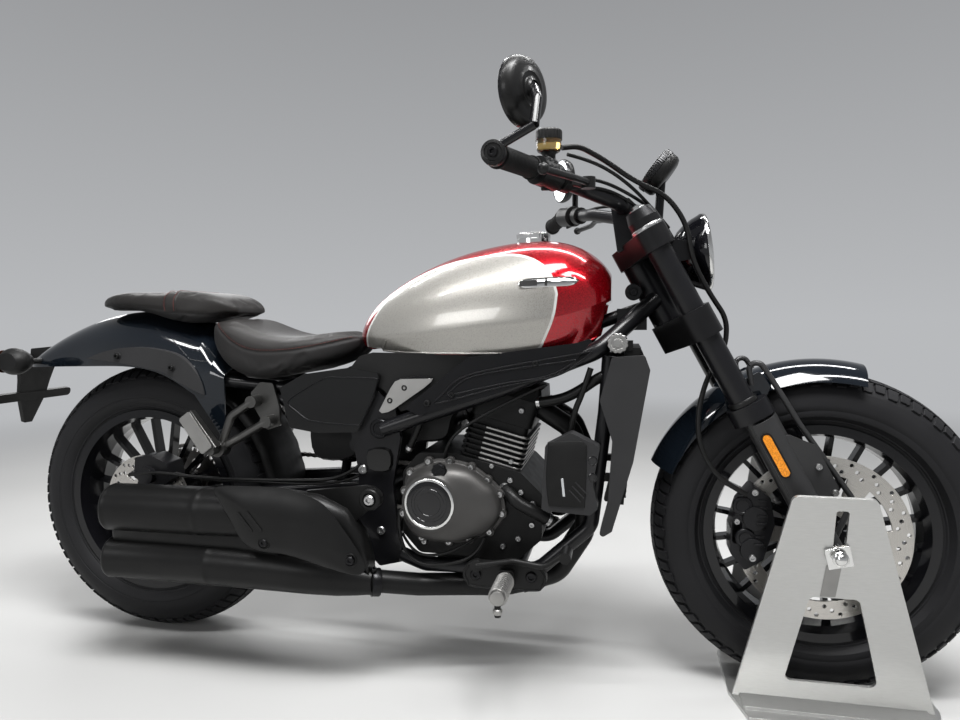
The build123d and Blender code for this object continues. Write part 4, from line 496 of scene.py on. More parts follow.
def shape(name, parts, look, body, edge=35):
    """One piece from several lists of points and faces, with edges kept sharp past an angle."""
    points, faces = [], []
    for more_points, more_faces in parts:
        faces += [tuple(len(points) + i for i in face) for face in more_faces]
        points += more_points
    mesh = bpy.data.meshes.new(name)
    mesh.from_pydata(points, [], faces)
    work = bmesh.new()
    work.from_mesh(mesh)
    bmesh.ops.remove_doubles(work, verts=work.verts, dist=1e-6)
    bmesh.ops.recalc_face_normals(work, faces=work.faces)
    work.to_mesh(mesh)
    work.free()
    mesh.shade_smooth()
    mesh.set_sharp_from_angle(angle=math.radians(edge))
    return placed(name, mesh, look, body)


def wire(name, routes, radius, look, body, closed=False):
    """Round wires or tubes along smooth lines through a few points."""
    curve = bpy.data.curves.new(name, "CURVE")
    curve.dimensions = "3D"
    curve.bevel_depth, curve.bevel_resolution, curve.use_fill_caps = radius * MM, 4, not closed
    curve.resolution_u = 8
    for route in routes:
        line = curve.splines.new("NURBS")
        line.points.add(len(route) - 1)
        for point, place in zip(line.points, route):
            point.co = (*place, 1)
        line.order_u = min(3, len(route))
        line.use_cyclic_u, line.use_endpoint_u = closed, not closed
    return placed(name, curve, look, body)


print("rear axle", tuple(round(v, 4) for v in rear_axle))

# %% [markdown]
# Most small parts of a motorcycle are turned or cut from plate. A turned form is a profile of
# radius and height. A plate is one outline and its holes, filled by a triangulation that
# leaves the holes out.

# %% Turned forms, bolts and plates
from mathutils.geometry import delaunay_2d_cdt


def ring_faces(rings, count, caps=()):
    """Faces that join rings of points in order, and a face on each ring named as a cap."""
    faces = []
    for row in range(rings - 1):
        for i in range(count):
            a, b = row * count + i, row * count + (i + 1) % count
            faces.append((a, b, b + count, a + count))
    return faces + [tuple(range(cap * count, cap * count + count)) for cap in caps]


def turn(profile, centre, axis, steps=48, lobes=0, depth=0.0):
    """Turns (radius, height) pairs round an axis; lobes ripple the radius, as knurling does."""
    axis = Vector(axis).normalized()
    right = axis.orthogonal().normalized()
    up = axis.cross(right)
    points = []
    for radius, height in profile:
        for i in range(steps):
            angle = math.tau * i / steps
            reach = radius + depth * math.cos(lobes * angle)
            spoke = right * math.cos(angle) + up * math.sin(angle)
            points.append(centre + (axis * height + spoke * reach) * MM)
    return points, ring_faces(len(profile), steps, (0, len(profile) - 1))


def tube(*form):
    """A turned form without its two end faces."""
    points, faces = turn(*form)
    return points, faces[:-2]


def bolt(centre, axis, radius, height, socket=0.5):
    """A button-head bolt with a hexagonal socket, its head standing along the axis."""
    axis = Vector(axis).normalized()
    right = axis.orthogonal().normalized()
    up = axis.cross(right)
    rows = [(radius, -1.0, False), (radius, 0.55 * height, False), (0.82 * radius, height, False),
            (socket * radius * 1.05, height, True), (socket * radius, 0.3 * height, True)]
    points = []
    for reach, rise, hexed in rows:
        for i in range(24):
            angle = math.tau * i / 24
            flat = math.cos(math.pi / 6) / math.cos(angle % (math.pi / 3) - math.pi / 6)
            spoke = right * math.cos(angle) + up * math.sin(angle)
            points.append(centre + (axis * rise + spoke * reach * (flat if hexed else 1)) * MM)
    return points, ring_faces(len(rows), 24, [4])


def plate(loops, place, right, up, thickness):
    """A flat plate: the first loop is its outline, and the others are holes through it."""
    flat, rings = [], []
    for loop in loops:
        rings.append(list(range(len(flat), len(flat) + len(loop))))
        flat += [Vector(point) for point in loop]
    flat, _, tiles = delaunay_2d_cdt(flat, [], rings, 5, 1e-6)[:3]
    right, up = Vector(right), Vector(up)
    back = right.cross(up).normalized() * -thickness * MM
    front = [place + (right * p.x + up * p.y) * MM for p in flat]
    count, used = len(front), {}
    for tile in tiles:
        for i, start in enumerate(tile):
            pair = (start, tile[(i + 1) % len(tile)])
            used[tuple(sorted(pair))] = used.get(tuple(sorted(pair)), []) + [pair]
    rims = [pairs[0] for pairs in used.values() if len(pairs) == 1]
    faces = [tuple(tile) for tile in tiles] + [tuple(count + i for i in tile) for tile in tiles]
    faces += [(a, b, b + count, a + count) for a, b in rims]
    return front + [point + back for point in front], faces


def circle(x, y, radius, steps=24):
    """A round loop for an outline or a hole."""
    turns = [math.tau * i / steps for i in range(steps)]
    return [(x + radius * math.cos(a), y + radius * math.sin(a)) for a in turns]


def oblong(half_long, half_wide):
    """A rectangle's loop round its middle."""
    return [(-half_long, -half_wide), (half_long, -half_wide), (half_long, half_wide),
            (-half_long, half_wide)]


TO_RIGHT, TO_LEFT = Vector((0, -1, 0)), Vector((0, 1, 0))
AHEAD, ABOVE = Vector((1, 0, 0)), Vector((0, 0, 1))
SIDES = ((-1, TO_RIGHT), (1, TO_LEFT))
print("a bolt has", len(bolt(at(0, 0, 0), TO_RIGHT, 6, 5)[1]), "faces")

# %% [markdown]
# Paint borders, seams and trims lie on a curved part. They are drawn from the side, each point
# is dropped on the part's surface with a ray, and then lifted by a fraction of a millimetre so
# that it can't flicker with the surface under it.

# %% Helpers that lay a drawing on a surface
FROM_SIDE, NEAR_SIDE = 400.0, 150.0


def skin(*names):
    """A search tree over the surface of some carried-over parts."""
    points, faces = [], []
    for name in names:
        mesh = frame["nodes"][name].data
        faces += [tuple(len(points) + i for i in face.vertices) for face in mesh.polygons]
        points += [vertex.co.copy() for vertex in mesh.vertices]
    return BVHTree.FromPolygons(points, faces)


def tree_of(mesh):
    """A search tree over one mesh."""
    return BVHTree.FromPolygons([v.co for v in mesh.vertices], [f.vertices for f in mesh.polygons])


def smooth_line(points, count):
    """Evenly numbered points on a smooth curve through the given ones."""
    ends = [points[0]] + list(points) + [points[-1]]
    made = []
    for step in range(count + 1):
        whole = step / count * (len(points) - 1)
        i = min(int(whole), len(points) - 2)
        t = whole - i
        a, b, c, d = (Vector(p) for p in ends[i:i + 4])
        bend = 2 * b + (c - a) * t + (2 * a - 5 * b + 4 * c - d) * t * t
        made.append((bend + (3 * b - a - 3 * c + d) * t ** 3) / 2)
    return made


def closed_line(points, count):
    """A smooth closed loop through points."""
    wrapped = smooth_line(points[-2:] + points + points[:2], count * (len(points) + 3))
    return wrapped[2 * count:-count - 1]


def sheet_faces(rows, wide):
    """Faces of a sheet of rows, each with the same number of points."""
    return [(i * wide + j, i * wide + j + 1, (i + 1) * wide + j + 1, (i + 1) * wide + j)
            for i in range(rows - 1) for j in range(wide - 1)]


def dropped(tree, x, z, hand=-1):
    """Where a ray from one side meets a surface, and the surface's own way out."""
    return tree.ray_cast(at(x, hand * FROM_SIDE, z), Vector((0, -hand, 0)))[:2]


def laid(tree, rows, hand, lift, passes=3):
    """Drops rows of (x, z) points on a surface from one side and joins them as a sheet."""
    hits = []
    for row in rows:
        line = []
        for x, z in row:
            hit, normal = dropped(tree, x, z, hand)
            if hit is None:
                hit, normal = tree.find_nearest(at(x, hand * NEAR_SIDE, z))[:2]
            normal = normal if normal.y * hand > 0 else -normal
            line.append(hit + normal * lift * MM)
        hits.append(line)
    for _ in range(passes):
        eased = [[p.copy() for p in line] for line in hits]
        for i in range(1, len(hits) - 1):
            for j in range(1, len(hits[i]) - 1):
                near = (hits[i - 1][j], hits[i + 1][j], hits[i][j - 1], hits[i][j + 1])
                eased[i][j].y = 0.5 * hits[i][j].y + 0.125 * sum(p.y for p in near)
        hits = eased
    return [point for line in hits for point in line], sheet_faces(len(hits), len(hits[0]))


tank_skin = skin("fuel_tank")
print("tank surface ready")

# %% [markdown]
# The tank is candy red with a warm silver panel on each side, and a thin pale line where the
# two meet. The panel's upper and lower borders are two curves that meet in a point at the
# front, and the sheet between them is laid on the tank.

# %% Silver panels and their pale border
PANEL_REAR, PANEL_TIP = (564, 690), (979, 795)
PANEL_TOP = [PANEL_REAR, (566, 706), (577, 736), (609, 786), (645, 816), (696, 842), (758, 863),
             (823, 872), (875, 875), (912, 870), (945, 854), (968, 828), PANEL_TIP]
PANEL_LOW = [PANEL_REAR, (625, 683), (700, 680), (780, 677), (860, 677), (915, 679), (941, 688),
             (958, 718), (973, 755), PANEL_TIP]
BORDER_WIDTH = 5.0


def between(low, high, count):
    """Rows of points from one line to another."""
    return [[a.lerp(b, step / count) for a, b in zip(low, high)] for step in range(count + 1)]


def beside(line, width, count=3):
    """Rows that follow a line and widen to its left by a width."""
    rows = [[] for _ in range(count + 1)]
    for i, point in enumerate(line):
        run = (line[min(i + 1, len(line) - 1)] - line[max(i - 1, 0)]).normalized()
        out = Vector((-run.y, run.x))
        for step in range(count + 1):
            rows[step].append(point + out * width * step / count)
    return rows


panel_top, panel_low = smooth_line(PANEL_TOP, 90), smooth_line(PANEL_LOW, 90)
border = panel_top[:-1] + list(reversed(panel_low))[:45]
shape("tank_panels", [laid(tank_skin, between(panel_low, panel_top, 40), hand, 0.9, 1)
                      for hand in (-1, 1)], "tank_silver", "frame", 60)
shape("tank_borders", [laid(tank_skin, beside(border, BORDER_WIDTH), hand, 1.1, 0)
                       for hand in (-1, 1)], "pinstripe", "frame", 60)
print("border points", len(border))

# %% [markdown]
# A pressed tank is welded along a flange at its lower edge, which shows as a thin bead. Each
# side also carries a plain polished bar with two dark slots, and a knurled ring frames the cap.

# %% Weld bead, side bars and cap ring
BEAD = [(600, 684), (660, 680), (800, 679), (920, 680)]
BEAD_AHEAD = [(920, 680), (960, 682), (1010, 690), (1056, 710)]
bead_runs, ahead_runs = [], []
for hand in (-1, 1):
    for row, runs in ((BEAD, bead_runs), (BEAD_AHEAD, ahead_runs)):
        line = smooth_line(row, 30)
        runs.append(laid(tank_skin, [line, line], hand, 0.6, 0)[0][:31])
wire("tank_bead", bead_runs, 2.2, "tank_silver", "frame")
wire("tank_bead_ahead", ahead_runs, 2.2, "tank_red", "frame")

BAR_START, BAR_FINISH, BAR_HALF = Vector((904, 816)), Vector((1023, 821)), 9.5
BAR_SECTION = [(-1, 0.0), (-0.6, 2.6), (0.0, 3.4), (0.6, 2.6), (1, 0.0)]  # share across, rise
SLOTS, SLOT_RISE = [(1, 9, 5.6), (11, 13, 7.0)], 4.9  # first point, last point, half width
bars, slots = [], []
line = [BAR_START.lerp(BAR_FINISH, i / 24) for i in range(25)]
for hand, out in SIDES:
    rows = [[p + Vector((0, BAR_HALF * side * (1 - (abs(i - 12) / 12) ** 8)))
             for i, p in enumerate(line)] for side, _ in BAR_SECTION]
    points, faces = laid(tank_skin, rows, hand, 1.0, 0)
    for row, (_, rise) in enumerate(BAR_SECTION):
        for i in range(row * len(line), (row + 1) * len(line)):
            points[i] += out * rise * MM
    bars.append((points, faces))
    for first, last, half in SLOTS:
        rows = [[p + Vector((0, half * side)) for p in line[first:last]] for side in (-1, 0, 1)]
        points, faces = laid(tank_skin, rows, hand, 0.0, 0)
        slots.append(([p + out * SLOT_RISE * MM for p in points], faces))
shape("side_bars", bars, "polished_metal", "frame")
shape("side_bar_slots", slots, "tail_black", "frame")
cap_low, cap_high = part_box("filler_cap")
cap_centre = Vector(((cap_low.x + cap_high.x) / 2, 0, cap_high.z))
cap_ring = [(35.5, -12), (36.5, -6), (36.5, -1.5), (34.5, 0.4), (28, 0.8), (27, -0.2), (1, -0.4)]
shape("cap_ring", [turn(cap_ring, cap_centre, ABOVE, 144, 36, 0.35)], "polished_metal", "frame")
print("cap at", tuple(round(v, 3) for v in cap_centre))

# %% [markdown]
# A seat is foam under a stretched cover, so it bulges between its seams. A voxel remesh turns
# the carried-over solid into an even skin, a short cloth run with air pressure puffs it, and
# the move is capped so that it stays in its place.

# %% Padded seats
PUFF_CAP, SHRINK = 5.0, 2.5


def worked(piece):
    """Replaces the piece's mesh by its modified one and drops the modifiers."""
    bpy.context.view_layer.update()
    shown = piece.evaluated_get(bpy.context.evaluated_depsgraph_get())
    mesh = bpy.data.meshes.new_from_object(shown)
    piece.modifiers.clear()
    piece.data = mesh


def puffed(name, node_name):
    """A padded copy of a carried-over solid."""
    piece = bpy.data.objects.new(name, frame["nodes"][node_name].data.copy())
    scene.collection.objects.link(piece)
    grid = piece.modifiers.new("grid", "REMESH")
    grid.mode, grid.voxel_size = "VOXEL", 0.005
    worked(piece)
    for _ in range(2):
        ease = piece.modifiers.new("ease", "SMOOTH")
        ease.factor, ease.iterations = 0.5, 6
    worked(piece)
    normals = [vertex.normal.copy() for vertex in piece.data.vertices]
    for vertex, normal in zip(piece.data.vertices, normals):
        vertex.co -= normal * SHRINK * MM
    before = [vertex.co.copy() for vertex in piece.data.vertices]
    cloth = piece.modifiers.new("Cloth", "CLOTH")
    cloth.settings.use_pressure = True
    cloth.settings.uniform_pressure_force = 4.0
    cloth.settings.effector_weights.gravity = 0.0
    for step in range(1, 21):
        scene.frame_set(step)
    worked(piece)
    scene.frame_set(1)
    cap = PUFF_CAP * MM
    for vertex, old in zip(piece.data.vertices, before):
        move = vertex.co - old
        if move.length > cap:
            vertex.co = old + move * (cap / move.length)
    finer = piece.modifiers.new("finer", "SUBSURF")
    finer.levels = finer.render_levels = 1
    worked(piece)
    piece.data.shade_smooth()
    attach(piece, "frame")
    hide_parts(node_name)
    return piece


rider = puffed("rider_cushion", "rider_seat")
pillion = puffed("passenger_cushion", "passenger_seat")
print("seat vertices", len(rider.data.vertices), len(pillion.data.vertices))

# %% [markdown]
# The covers are sewn from a smooth top panel and a coarser side panel. The seam between them
# is a groove pressed into the mesh, and each red stitch is a short thick thread laid on the
# surface.

# %% Seams, side panels and stitches
RIDER_SEAM = [(203, 752), (214, 742), (239, 723), (267, 703), (298, 688), (334, 681), (382, 681),
              (429, 686), (476, 695), (522, 707), (552, 716)]
PILLION_SEAM = [(-126, 776), (-80, 786), (-20, 786), (60, 779), (130, 768), (190, 763), (206, 762)]
GROOVE_DEPTH, GROOVE_WIDTH = 2.2, 4.0


def seam_height(seam, x):
    """The seam's height at this place along the seat, in millimetres."""
    for (x0, z0), (x1, z1) in zip(seam, seam[1:]):
        if x0 <= x <= x1:
            return z0 + (z1 - z0) * (x - x0) / (x1 - x0)
    return seam[0][1] if x < seam[0][0] else seam[-1][1]


def sew(piece, seam):
    """Presses the seam's groove in, and gives the panels under it their own leather."""
    mesh = piece.data
    normals = [vertex.normal.copy() for vertex in mesh.vertices]
    for vertex, normal in zip(mesh.vertices, normals):
        x = (vertex.co.x - rear_axle.x) / MM
        off = vertex.co.z / MM - seam_height(seam, x)
        if abs(normal.y) > 0.2:
            vertex.co -= normal * GROOVE_DEPTH * MM * math.exp(-(off / GROOVE_WIDTH) ** 2)
    mesh.materials.clear()
    mesh.materials.append(finish["seat_leather"])
    mesh.materials.append(finish["seat_sides"])
    for face in mesh.polygons:
        x = (face.center.x - rear_axle.x) / MM
        face.material_index = int(face.center.z / MM < seam_height(seam, x))


def stitches(name, piece, seam, above, pitch=7.0, length=4.6):
    """Short threads along a seam, on both sides of a seat."""
    tree, runs = tree_of(piece.data), []
    for hand in (-1, 1):
        line = smooth_line([(x, z + above) for x, z in seam], 400)
        walked = 0.0
        for a, b in zip(line, line[1:]):
            walked += (b - a).length
            if walked < pitch:
                continue
            walked = 0.0
            run = []
            for share, rise in ((-0.5, -0.3), (0.0, 0.5), (0.5, -0.3)):
                spot = a + (b - a).normalized() * length * share
                hit, normal = dropped(tree, spot.x, spot.y, hand)
                if hit is not None:
                    run.append(hit + normal * rise * MM)
            if len(run) == 3:
                runs.append(run)
    wire(name, runs, 0.55, "thread", "frame")


sew(rider, RIDER_SEAM)
sew(pillion, PILLION_SEAM)
stitches("rider_stitches", rider, RIDER_SEAM, 5.0)
print("seams sewn")

# %% [markdown]
# A block-tread tyre is a round carcass with rubber blocks standing about six millimetres
# proud of it. One pitch of the pattern is a short table, and it is repeated round the wheel.
# Each block is a strip of rows across the tread, and its edges follow the tread's crown.

# %% Tyres with their blocks
TREAD_DEPTH, BEAD_RADIUS = 6.0, 203.3
BLOCKS = [  # rows across the tread as (share of the half width, start, end) in shares of a pitch
    [(-0.16, 0.02, 0.44), (0.0, 0.10, 0.52), (0.16, 0.02, 0.44)],
    [(-0.16, 0.50, 0.94), (0.0, 0.58, 1.02), (0.16, 0.50, 0.94)],
    [(0.24, 0.22, 0.60), (0.38, 0.12, 0.54), (0.50, 0.20, 0.62)],
    [(0.24, 0.68, 1.14), (0.38, 0.60, 1.06), (0.50, 0.68, 1.14)],
    [(-0.50, 0.20, 0.62), (-0.38, 0.12, 0.54), (-0.24, 0.22, 0.60)],
    [(-0.50, 0.68, 1.14), (-0.38, 0.60, 1.06), (-0.24, 0.68, 1.14)],
    [(0.58, 0.02, 0.42), (0.70, 0.08, 0.46), (0.84, 0.08, 0.46), (1.0, 0.12, 0.44)],
    [(0.58, 0.54, 0.92), (0.70, 0.60, 0.96), (0.84, 0.60, 0.96), (0.92, 0.64, 0.94)],
    [(-1.0, 0.12, 0.44), (-0.84, 0.08, 0.46), (-0.70, 0.08, 0.46), (-0.58, 0.02, 0.42)],
    [(-0.92, 0.64, 0.94), (-0.84, 0.60, 0.96), (-0.70, 0.60, 0.96), (-0.58, 0.54, 0.92)],
]


def crown(radius, width, share):
    """Radius and place across the tread for a share of its half width, and the way out."""
    edge, drop = 0.43 * width, 0.19 * width
    bend = (edge ** 2 + drop ** 2) / (2 * drop)
    across = share * edge
    tilt = math.asin(across / bend)
    return radius - bend * (1 - math.cos(tilt)), across, tilt


def tread(axle, radius, width, pitches):
    """All the blocks of one tyre as points and faces."""
    points, faces = [], []
    for pitch in range(pitches):
        for rows in BLOCKS:
            base = len(points)
            for share, first, last in rows:
                reach, across, tilt = crown(radius, width, share)
                for sink, spread in ((0.0, 0.0), (-0.8, 0.012), (-TREAD_DEPTH - 1.2, 0.03)):
                    for turn_share, way in ((first, -1), (last, 1)):
                        angle = math.tau * (pitch + turn_share + way * spread) / pitches
                        out = reach + sink * math.cos(tilt)
                        points.append(axle + Vector((out * math.cos(angle),
                                                     across + sink * math.sin(tilt),
                                                     out * math.sin(angle))) * MM)
            for row in range(len(rows) - 1):
                a, b = base + row * 6, base + row * 6 + 6
                for low, high in ((0, 1), (2, 0), (4, 2), (1, 3), (3, 5)):
                    faces.append((a + low, a + high, b + high, b + low))
            for start in (base, base + (len(rows) - 1) * 6):
                faces += [(start, start + 1, start + 3, start + 2),
                          (start + 2, start + 3, start + 5, start + 4)]
    return points, faces


def carcass(axle, radius, width, rim_width):
    """The tyre without its blocks, with ridges moulded on the sidewall."""
    seat, bead = rim_width / 2 - 9.0, BEAD_RADIUS
    half = [crown(radius - TREAD_DEPTH, width, i / 10)[:2] for i in range(11)]
    shoulder = half[-1]
    half += [(shoulder[0] - 3, shoulder[1] + 1.0), (shoulder[0] - 9, width * 0.462),
             (shoulder[0] - 20, width * 0.487), (shoulder[0] - 32, width * 0.497),
             (bead + 46, width * 0.497), (bead + 44.8, width * 0.49), (bead + 43, width * 0.49),
             (bead + 41.8, width * 0.494), (bead + 32, width * 0.474), (bead + 24, seat + 8.4),
             (bead + 21, seat + 8.2), (bead + 19.4, seat + 5.6), (bead + 13, seat + 3.6),
             (bead + 3, seat + 1.6), (bead, seat)]
    whole = [(r, -y) for r, y in reversed(half[1:])] + half
    return tube(whole, axle, TO_LEFT, 180)


TYRES = [  # end, radius, width, rim width, pitches, axle
    ("front", 320.0, 130.0, 98.0, 40, front_axle), ("rear", 323.0, 152.0, 128.0, 38, rear_axle),
]
for end, radius, width, rim_width, pitches, axle in TYRES:
    tyre = shape(end + "_tyre_rubber", [carcass(axle, radius, width, rim_width),
                                        tread(axle, radius - 0.2, width, pitches)],
                 end + "_rubber", end + "_wheel", 40)
    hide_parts(end + "_tyre")
    print(end, "tyre faces", len(tyre.data.polygons))

# %% [markdown]
# Brake discs are ground steel rings with three rows of cooling holes, on arms that reach in
# to the hub. Each is one plate with its windows and holes cut through, in the place of the
# plain carried-over disc.

# %% Drilled brake discs
def slot_loop(low, high, start, end, steps=7):
    """A window of a disc: an arc out, and an arc back."""
    turns = [start + (end - start) * i / steps for i in range(steps + 1)]
    return ([(high * math.cos(a), high * math.sin(a)) for a in turns] +
            [(low * math.cos(a - 0.05), low * math.sin(a - 0.05)) for a in reversed(turns)])


def brake_disc(node_name, outer, band, bolt_radius, arms, holes):
    """A disc plate with its cooling holes, and its windows between the arms."""
    low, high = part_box(node_name)
    face = Vector(((low.x + high.x) / 2, low.y, (low.z + high.z) / 2))
    inner = outer - band
    loops = [circle(0, 0, outer, 120), circle(0, 0, bolt_radius - 10, 48)]
    for i in range(holes):
        angle = math.tau * i / holes
        for row, share in enumerate((0.24, 0.50, 0.76)):
            a = angle + (row - 1) * 0.33 * math.tau / holes
            reach = inner + band * share
            loops.append(circle(reach * math.cos(a), reach * math.sin(a), 4.0, 12))
    for i in range(arms):
        angle = math.tau * i / arms
        loops.append(slot_loop(bolt_radius + 11, inner - 1, angle + 0.17,
                               angle + math.tau / arms - 0.19))
    return plate(loops, face, AHEAD, ABOVE, (high.y - low.y) / MM)


DISCS = [("front", 160, 34, 62, 6, 22), ("rear", 110, 28, 48, 5, 18)]
for end, *sizes in DISCS:
    disc = shape(end + "_disc_plate", [brake_disc(end + "_disc", *sizes)], end + "_disc_steel",
                 end + "_wheel", 30)
    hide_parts(end + "_disc")
    print(end, "disc faces", len(disc.data.polygons))

# %% [markdown]
# A headlight is a dark bowl with a chrome ring, a bright faceted reflector with a projector
# eye, and a clear glass. The carried-over body is closed, so it is turned again as an open
# bowl, and the lens is really seen through.

# %% Headlight
LAMP_AT = at(1266, 0, 880)
LAMP_AIM = Vector((math.cos(math.radians(6)), 0, math.sin(math.radians(6))))
BOWL = [(1, -60), (18, -60), (34, -56), (48, -47), (60, -34), (70, -18), (76, -5), (79, 0),
        (79, 3), (76, 3), (72, -4), (60, -24), (40, -40), (1, -46)]
RING = [(73, -2), (75, 3.5), (78.6, 3.5), (79, 6), (77.5, 10), (74, 12), (71.5, 10), (71, 4)]
REFLECTOR = [(71, 3), (66, -4), (56, -14), (42, -24), (26, -30), (24, -30)]
EYE = [(26, -34), (26, -14), (25, -11), (21, -8), (12, -4.5), (1, -3)]
LENS = [(71.4, 7), (70, 10), (60, 14), (44, 16.4), (24, 17.6), (1, 18), (1, 16.5), (24, 16.1),
        (44, 14.9), (60, 12.5), (69, 7)]
bowl = shape("headlight_bowl", [turn(BOWL, LAMP_AT, LAMP_AIM, 72)], "lamp_glass",
             "steering", 45)
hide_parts("headlight")
shape("headlight_ring", [turn(RING + RING[:1], LAMP_AT, LAMP_AIM, 72)],
      "polished_metal", "steering", 45)
shape("headlight_reflector", [turn(REFLECTOR, LAMP_AT, LAMP_AIM, 72, 12, 0.8)],
      "polished_metal", "steering", 20)
shape("headlight_eye", [turn(EYE, LAMP_AT, LAMP_AIM, 48)], "clear_lens", "steering",
      45)
shape("headlight_lens", [turn(LENS, LAMP_AT, LAMP_AIM, 72)], "clear_lens", "steering",
      60)
print("lamp at", tuple(round(v, 3) for v in LAMP_AT))

# %% [markdown]
# The round dial looks back and up towards the rider. Its rim is a knurled band, and its face
# is a dark disc with plain scale marks under a flat glass.

# %% Dial
DIAL_OUT = Vector((-0.786, 0, 0.618)).normalized()
DIAL_AT = at(1195, 0, 1033)
CASE = [(1, 0), (34, 0), (42, 3), (46, 9), (46.5, 20), (46.5, 22)]
BAND = [(46, 21), (47.6, 22.5), (47.6, 33), (46.5, 36), (44, 37.6), (42, 36.5), (41.5, 34)]
FACE = [(42, 33), (1, 33)]
GLASS = [(41.8, 35.4), (41.6, 36.2), (20, 37.0), (1, 37.2)]
case = shape("dial_case", [turn(CASE, DIAL_AT, DIAL_OUT, 60)], "control_black",
             "steering", 45)
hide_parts("dial")
shape("dial_band", [turn(BAND, DIAL_AT, DIAL_OUT, 240, 60, 0.3)], "dial_grey",
      "steering", 45)
shape("dial_face", [turn(FACE, DIAL_AT, DIAL_OUT, 60)], "lamp_glass", "steering",
      45)
dial_right = DIAL_OUT.cross(TO_LEFT).normalized()
marks = []
for i in range(25):
    angle = math.radians(-30 + i * 10)
    spoke = dial_right * math.sin(angle) + TO_LEFT * math.cos(angle)
    along_rim = DIAL_OUT.cross(spoke)
    reach = 30 if i % 4 == 0 else 33
    mark_at = DIAL_AT + (DIAL_OUT * 33.4 + spoke * (reach + 37) / 2) * MM
    mark = oblong((37 - reach) / 2, 0.9 if i % 4 == 0 else 0.5)
    marks.append(plate([mark], mark_at, spoke, along_rim, 0.3))
shape("dial_marks", marks, "pinstripe", "steering", 45)
shape("dial_glass", [turn(GLASS, DIAL_AT, DIAL_OUT, 60)], "clear_lens", "steering",
      45)
print("dial marks", len(marks))

# %% [markdown]
# The mirrors are round pods on the ends of the bar: a stepped dome, and on the side that faces
# the rider a slightly sunk glass with a thin lip round it.

# %% Mirror domes, glass and lips
MIRROR_TURN = math.radians(27)
DOME = [(56.3, -1), (56.3, 0.5), (55.6, 4), (54.2, 8), (52.0, 12), (50.2, 14.6), (46, 16.6),
        (38, 18.4), (30, 19.2), (29, 20.4), (27.4, 20.6), (26.4, 19.6), (20, 19.8), (19, 21.2),
        (17, 21.4), (14, 22.8), (12.6, 26)]
MIRROR = [(52.4, 0.1), (52.2, -0.5), (30, -0.7), (1, -0.8)]
LIP = [(52, 0.6), (52.4, -1.2), (54, -1.9), (55.6, -0.8), (56, 1)]
domes, glasses, lips = [], [], []
for hand, _ in SIDES:
    back = Vector((math.cos(MIRROR_TURN), hand * math.sin(MIRROR_TURN), 0))
    face = at(948, hand * 360, 1112)
    domes.append(tube(DOME, face, back, 72))
    glasses.append(turn(MIRROR, face - back * 6 * MM, back, 72))
    lips.append(tube(LIP, face - back * 6 * MM, back, 72))
shape("mirror_domes", domes, "control_black", "steering", 50)
shape("mirror_glasses", glasses, "mirror_glass", "steering", 45)
shape("mirror_lips", lips, "mirror_black", "steering", 60)
print("mirrors done")

# %% [markdown]
# The clutch cover carries a machined ring round a gloss black disc, with fine turned rings on
# it, and a row of bolts round its edge. The bolts are one joined piece from a short table.

# %% Clutch cover, ring, disc and bolts
COVER_BACK, EAR_RISE, WINDOW_RADIUS = -118.3, 10.4, 57.0
CLUTCH_AT = at(728, COVER_BACK, 378)
COVER_LINE = [(655, 340), (658, 390), (670, 432), (720, 457), (762, 459), (806, 449), (842, 424),
              (868, 396), (874, 352), (846, 312), (800, 292), (756, 284), (696, 290), (668, 310)]
COVER_ROWS = [  # share of the outline, share towards the window's circle, depth
    (1.0, 0.0, 0), (1.0, 0.0, 6), (0.988, 0.0, 7.6), (0.945, 0.0, 7.8), (0.93, 0.0, 9),
    (0.918, 0.0, 22), (0.905, 0.02, 29), (0.885, 0.07, 35.5), (0.88, 0.2, 41), (0.88, 0.4, 46),
    (0.88, 0.62, 50), (0.88, 0.82, 53), (0.88, 0.94, 55.5), (0.9, 1.0, 57), (0.9, 1.0, 57.4),
]
cover_line = closed_line(COVER_LINE, 8)
cover_middle, window_middle = Vector((764, 372)), Vector((728, 378))
cover_points = []
for share, round_share, depth in COVER_ROWS:
    for p in cover_line:
        way = (p - window_middle).normalized()
        reach = WINDOW_RADIUS - (3.5 if depth > 57.2 else 0)
        spot = (cover_middle + (p - cover_middle) * share).lerp(window_middle + way * reach,
                                                                round_share)
        cover_points.append(at(spot.x, COVER_BACK - depth, spot.y))
cover_faces = ring_faces(len(COVER_ROWS), len(cover_line), [len(COVER_ROWS) - 1])
cover_skin = BVHTree.FromPolygons(cover_points, cover_faces)
COVER_BOLTS = [(657, 342), (661, 390), (674, 429), (714, 454), (760, 456), (804, 445), (838, 420),
               (864, 392), (868, 352), (842, 314), (800, 296), (756, 288), (698, 294)]
EAR = [(10, 0), (10, 9), (9, EAR_RISE), (1, EAR_RISE)]
ears = [turn(EAR, at(x, COVER_BACK, z), TO_RIGHT, 32) for x, z in COVER_BOLTS]
cover = shape("domed_cover", [(cover_points, cover_faces), *ears], "cover_grey", "frame",
              40)
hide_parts("clutch_cover")
RING_OUT = [(52, 55), (52.4, 58.6), (51.4, 60), (50, 60.6), (47, 60.6), (45.4, 58.6), (45, 55)]
DISC_IN = [(45.2, 56), (45, 57.6), (41, 58.4), (37, 58.6), (36.4, 57.8), (31, 57.8), (30.4, 58.4),
           (24, 58.4), (23.4, 57.8), (12, 58.0), (1, 58.1)]
shape("clutch_ring", [tube(RING_OUT, CLUTCH_AT, TO_RIGHT, 96)], "polished_metal", "frame",
      45)
shape("clutch_disc", [turn(DISC_IN, CLUTCH_AT, TO_RIGHT, 96)], "lamp_glass", "frame",
      25)
heads = [bolt(at(x, COVER_BACK - EAR_RISE, z), TO_RIGHT, 6.2, 4.6) for x, z in COVER_BOLTS]
shape("cover_bolts", heads, "axle_steel", "frame", 30)
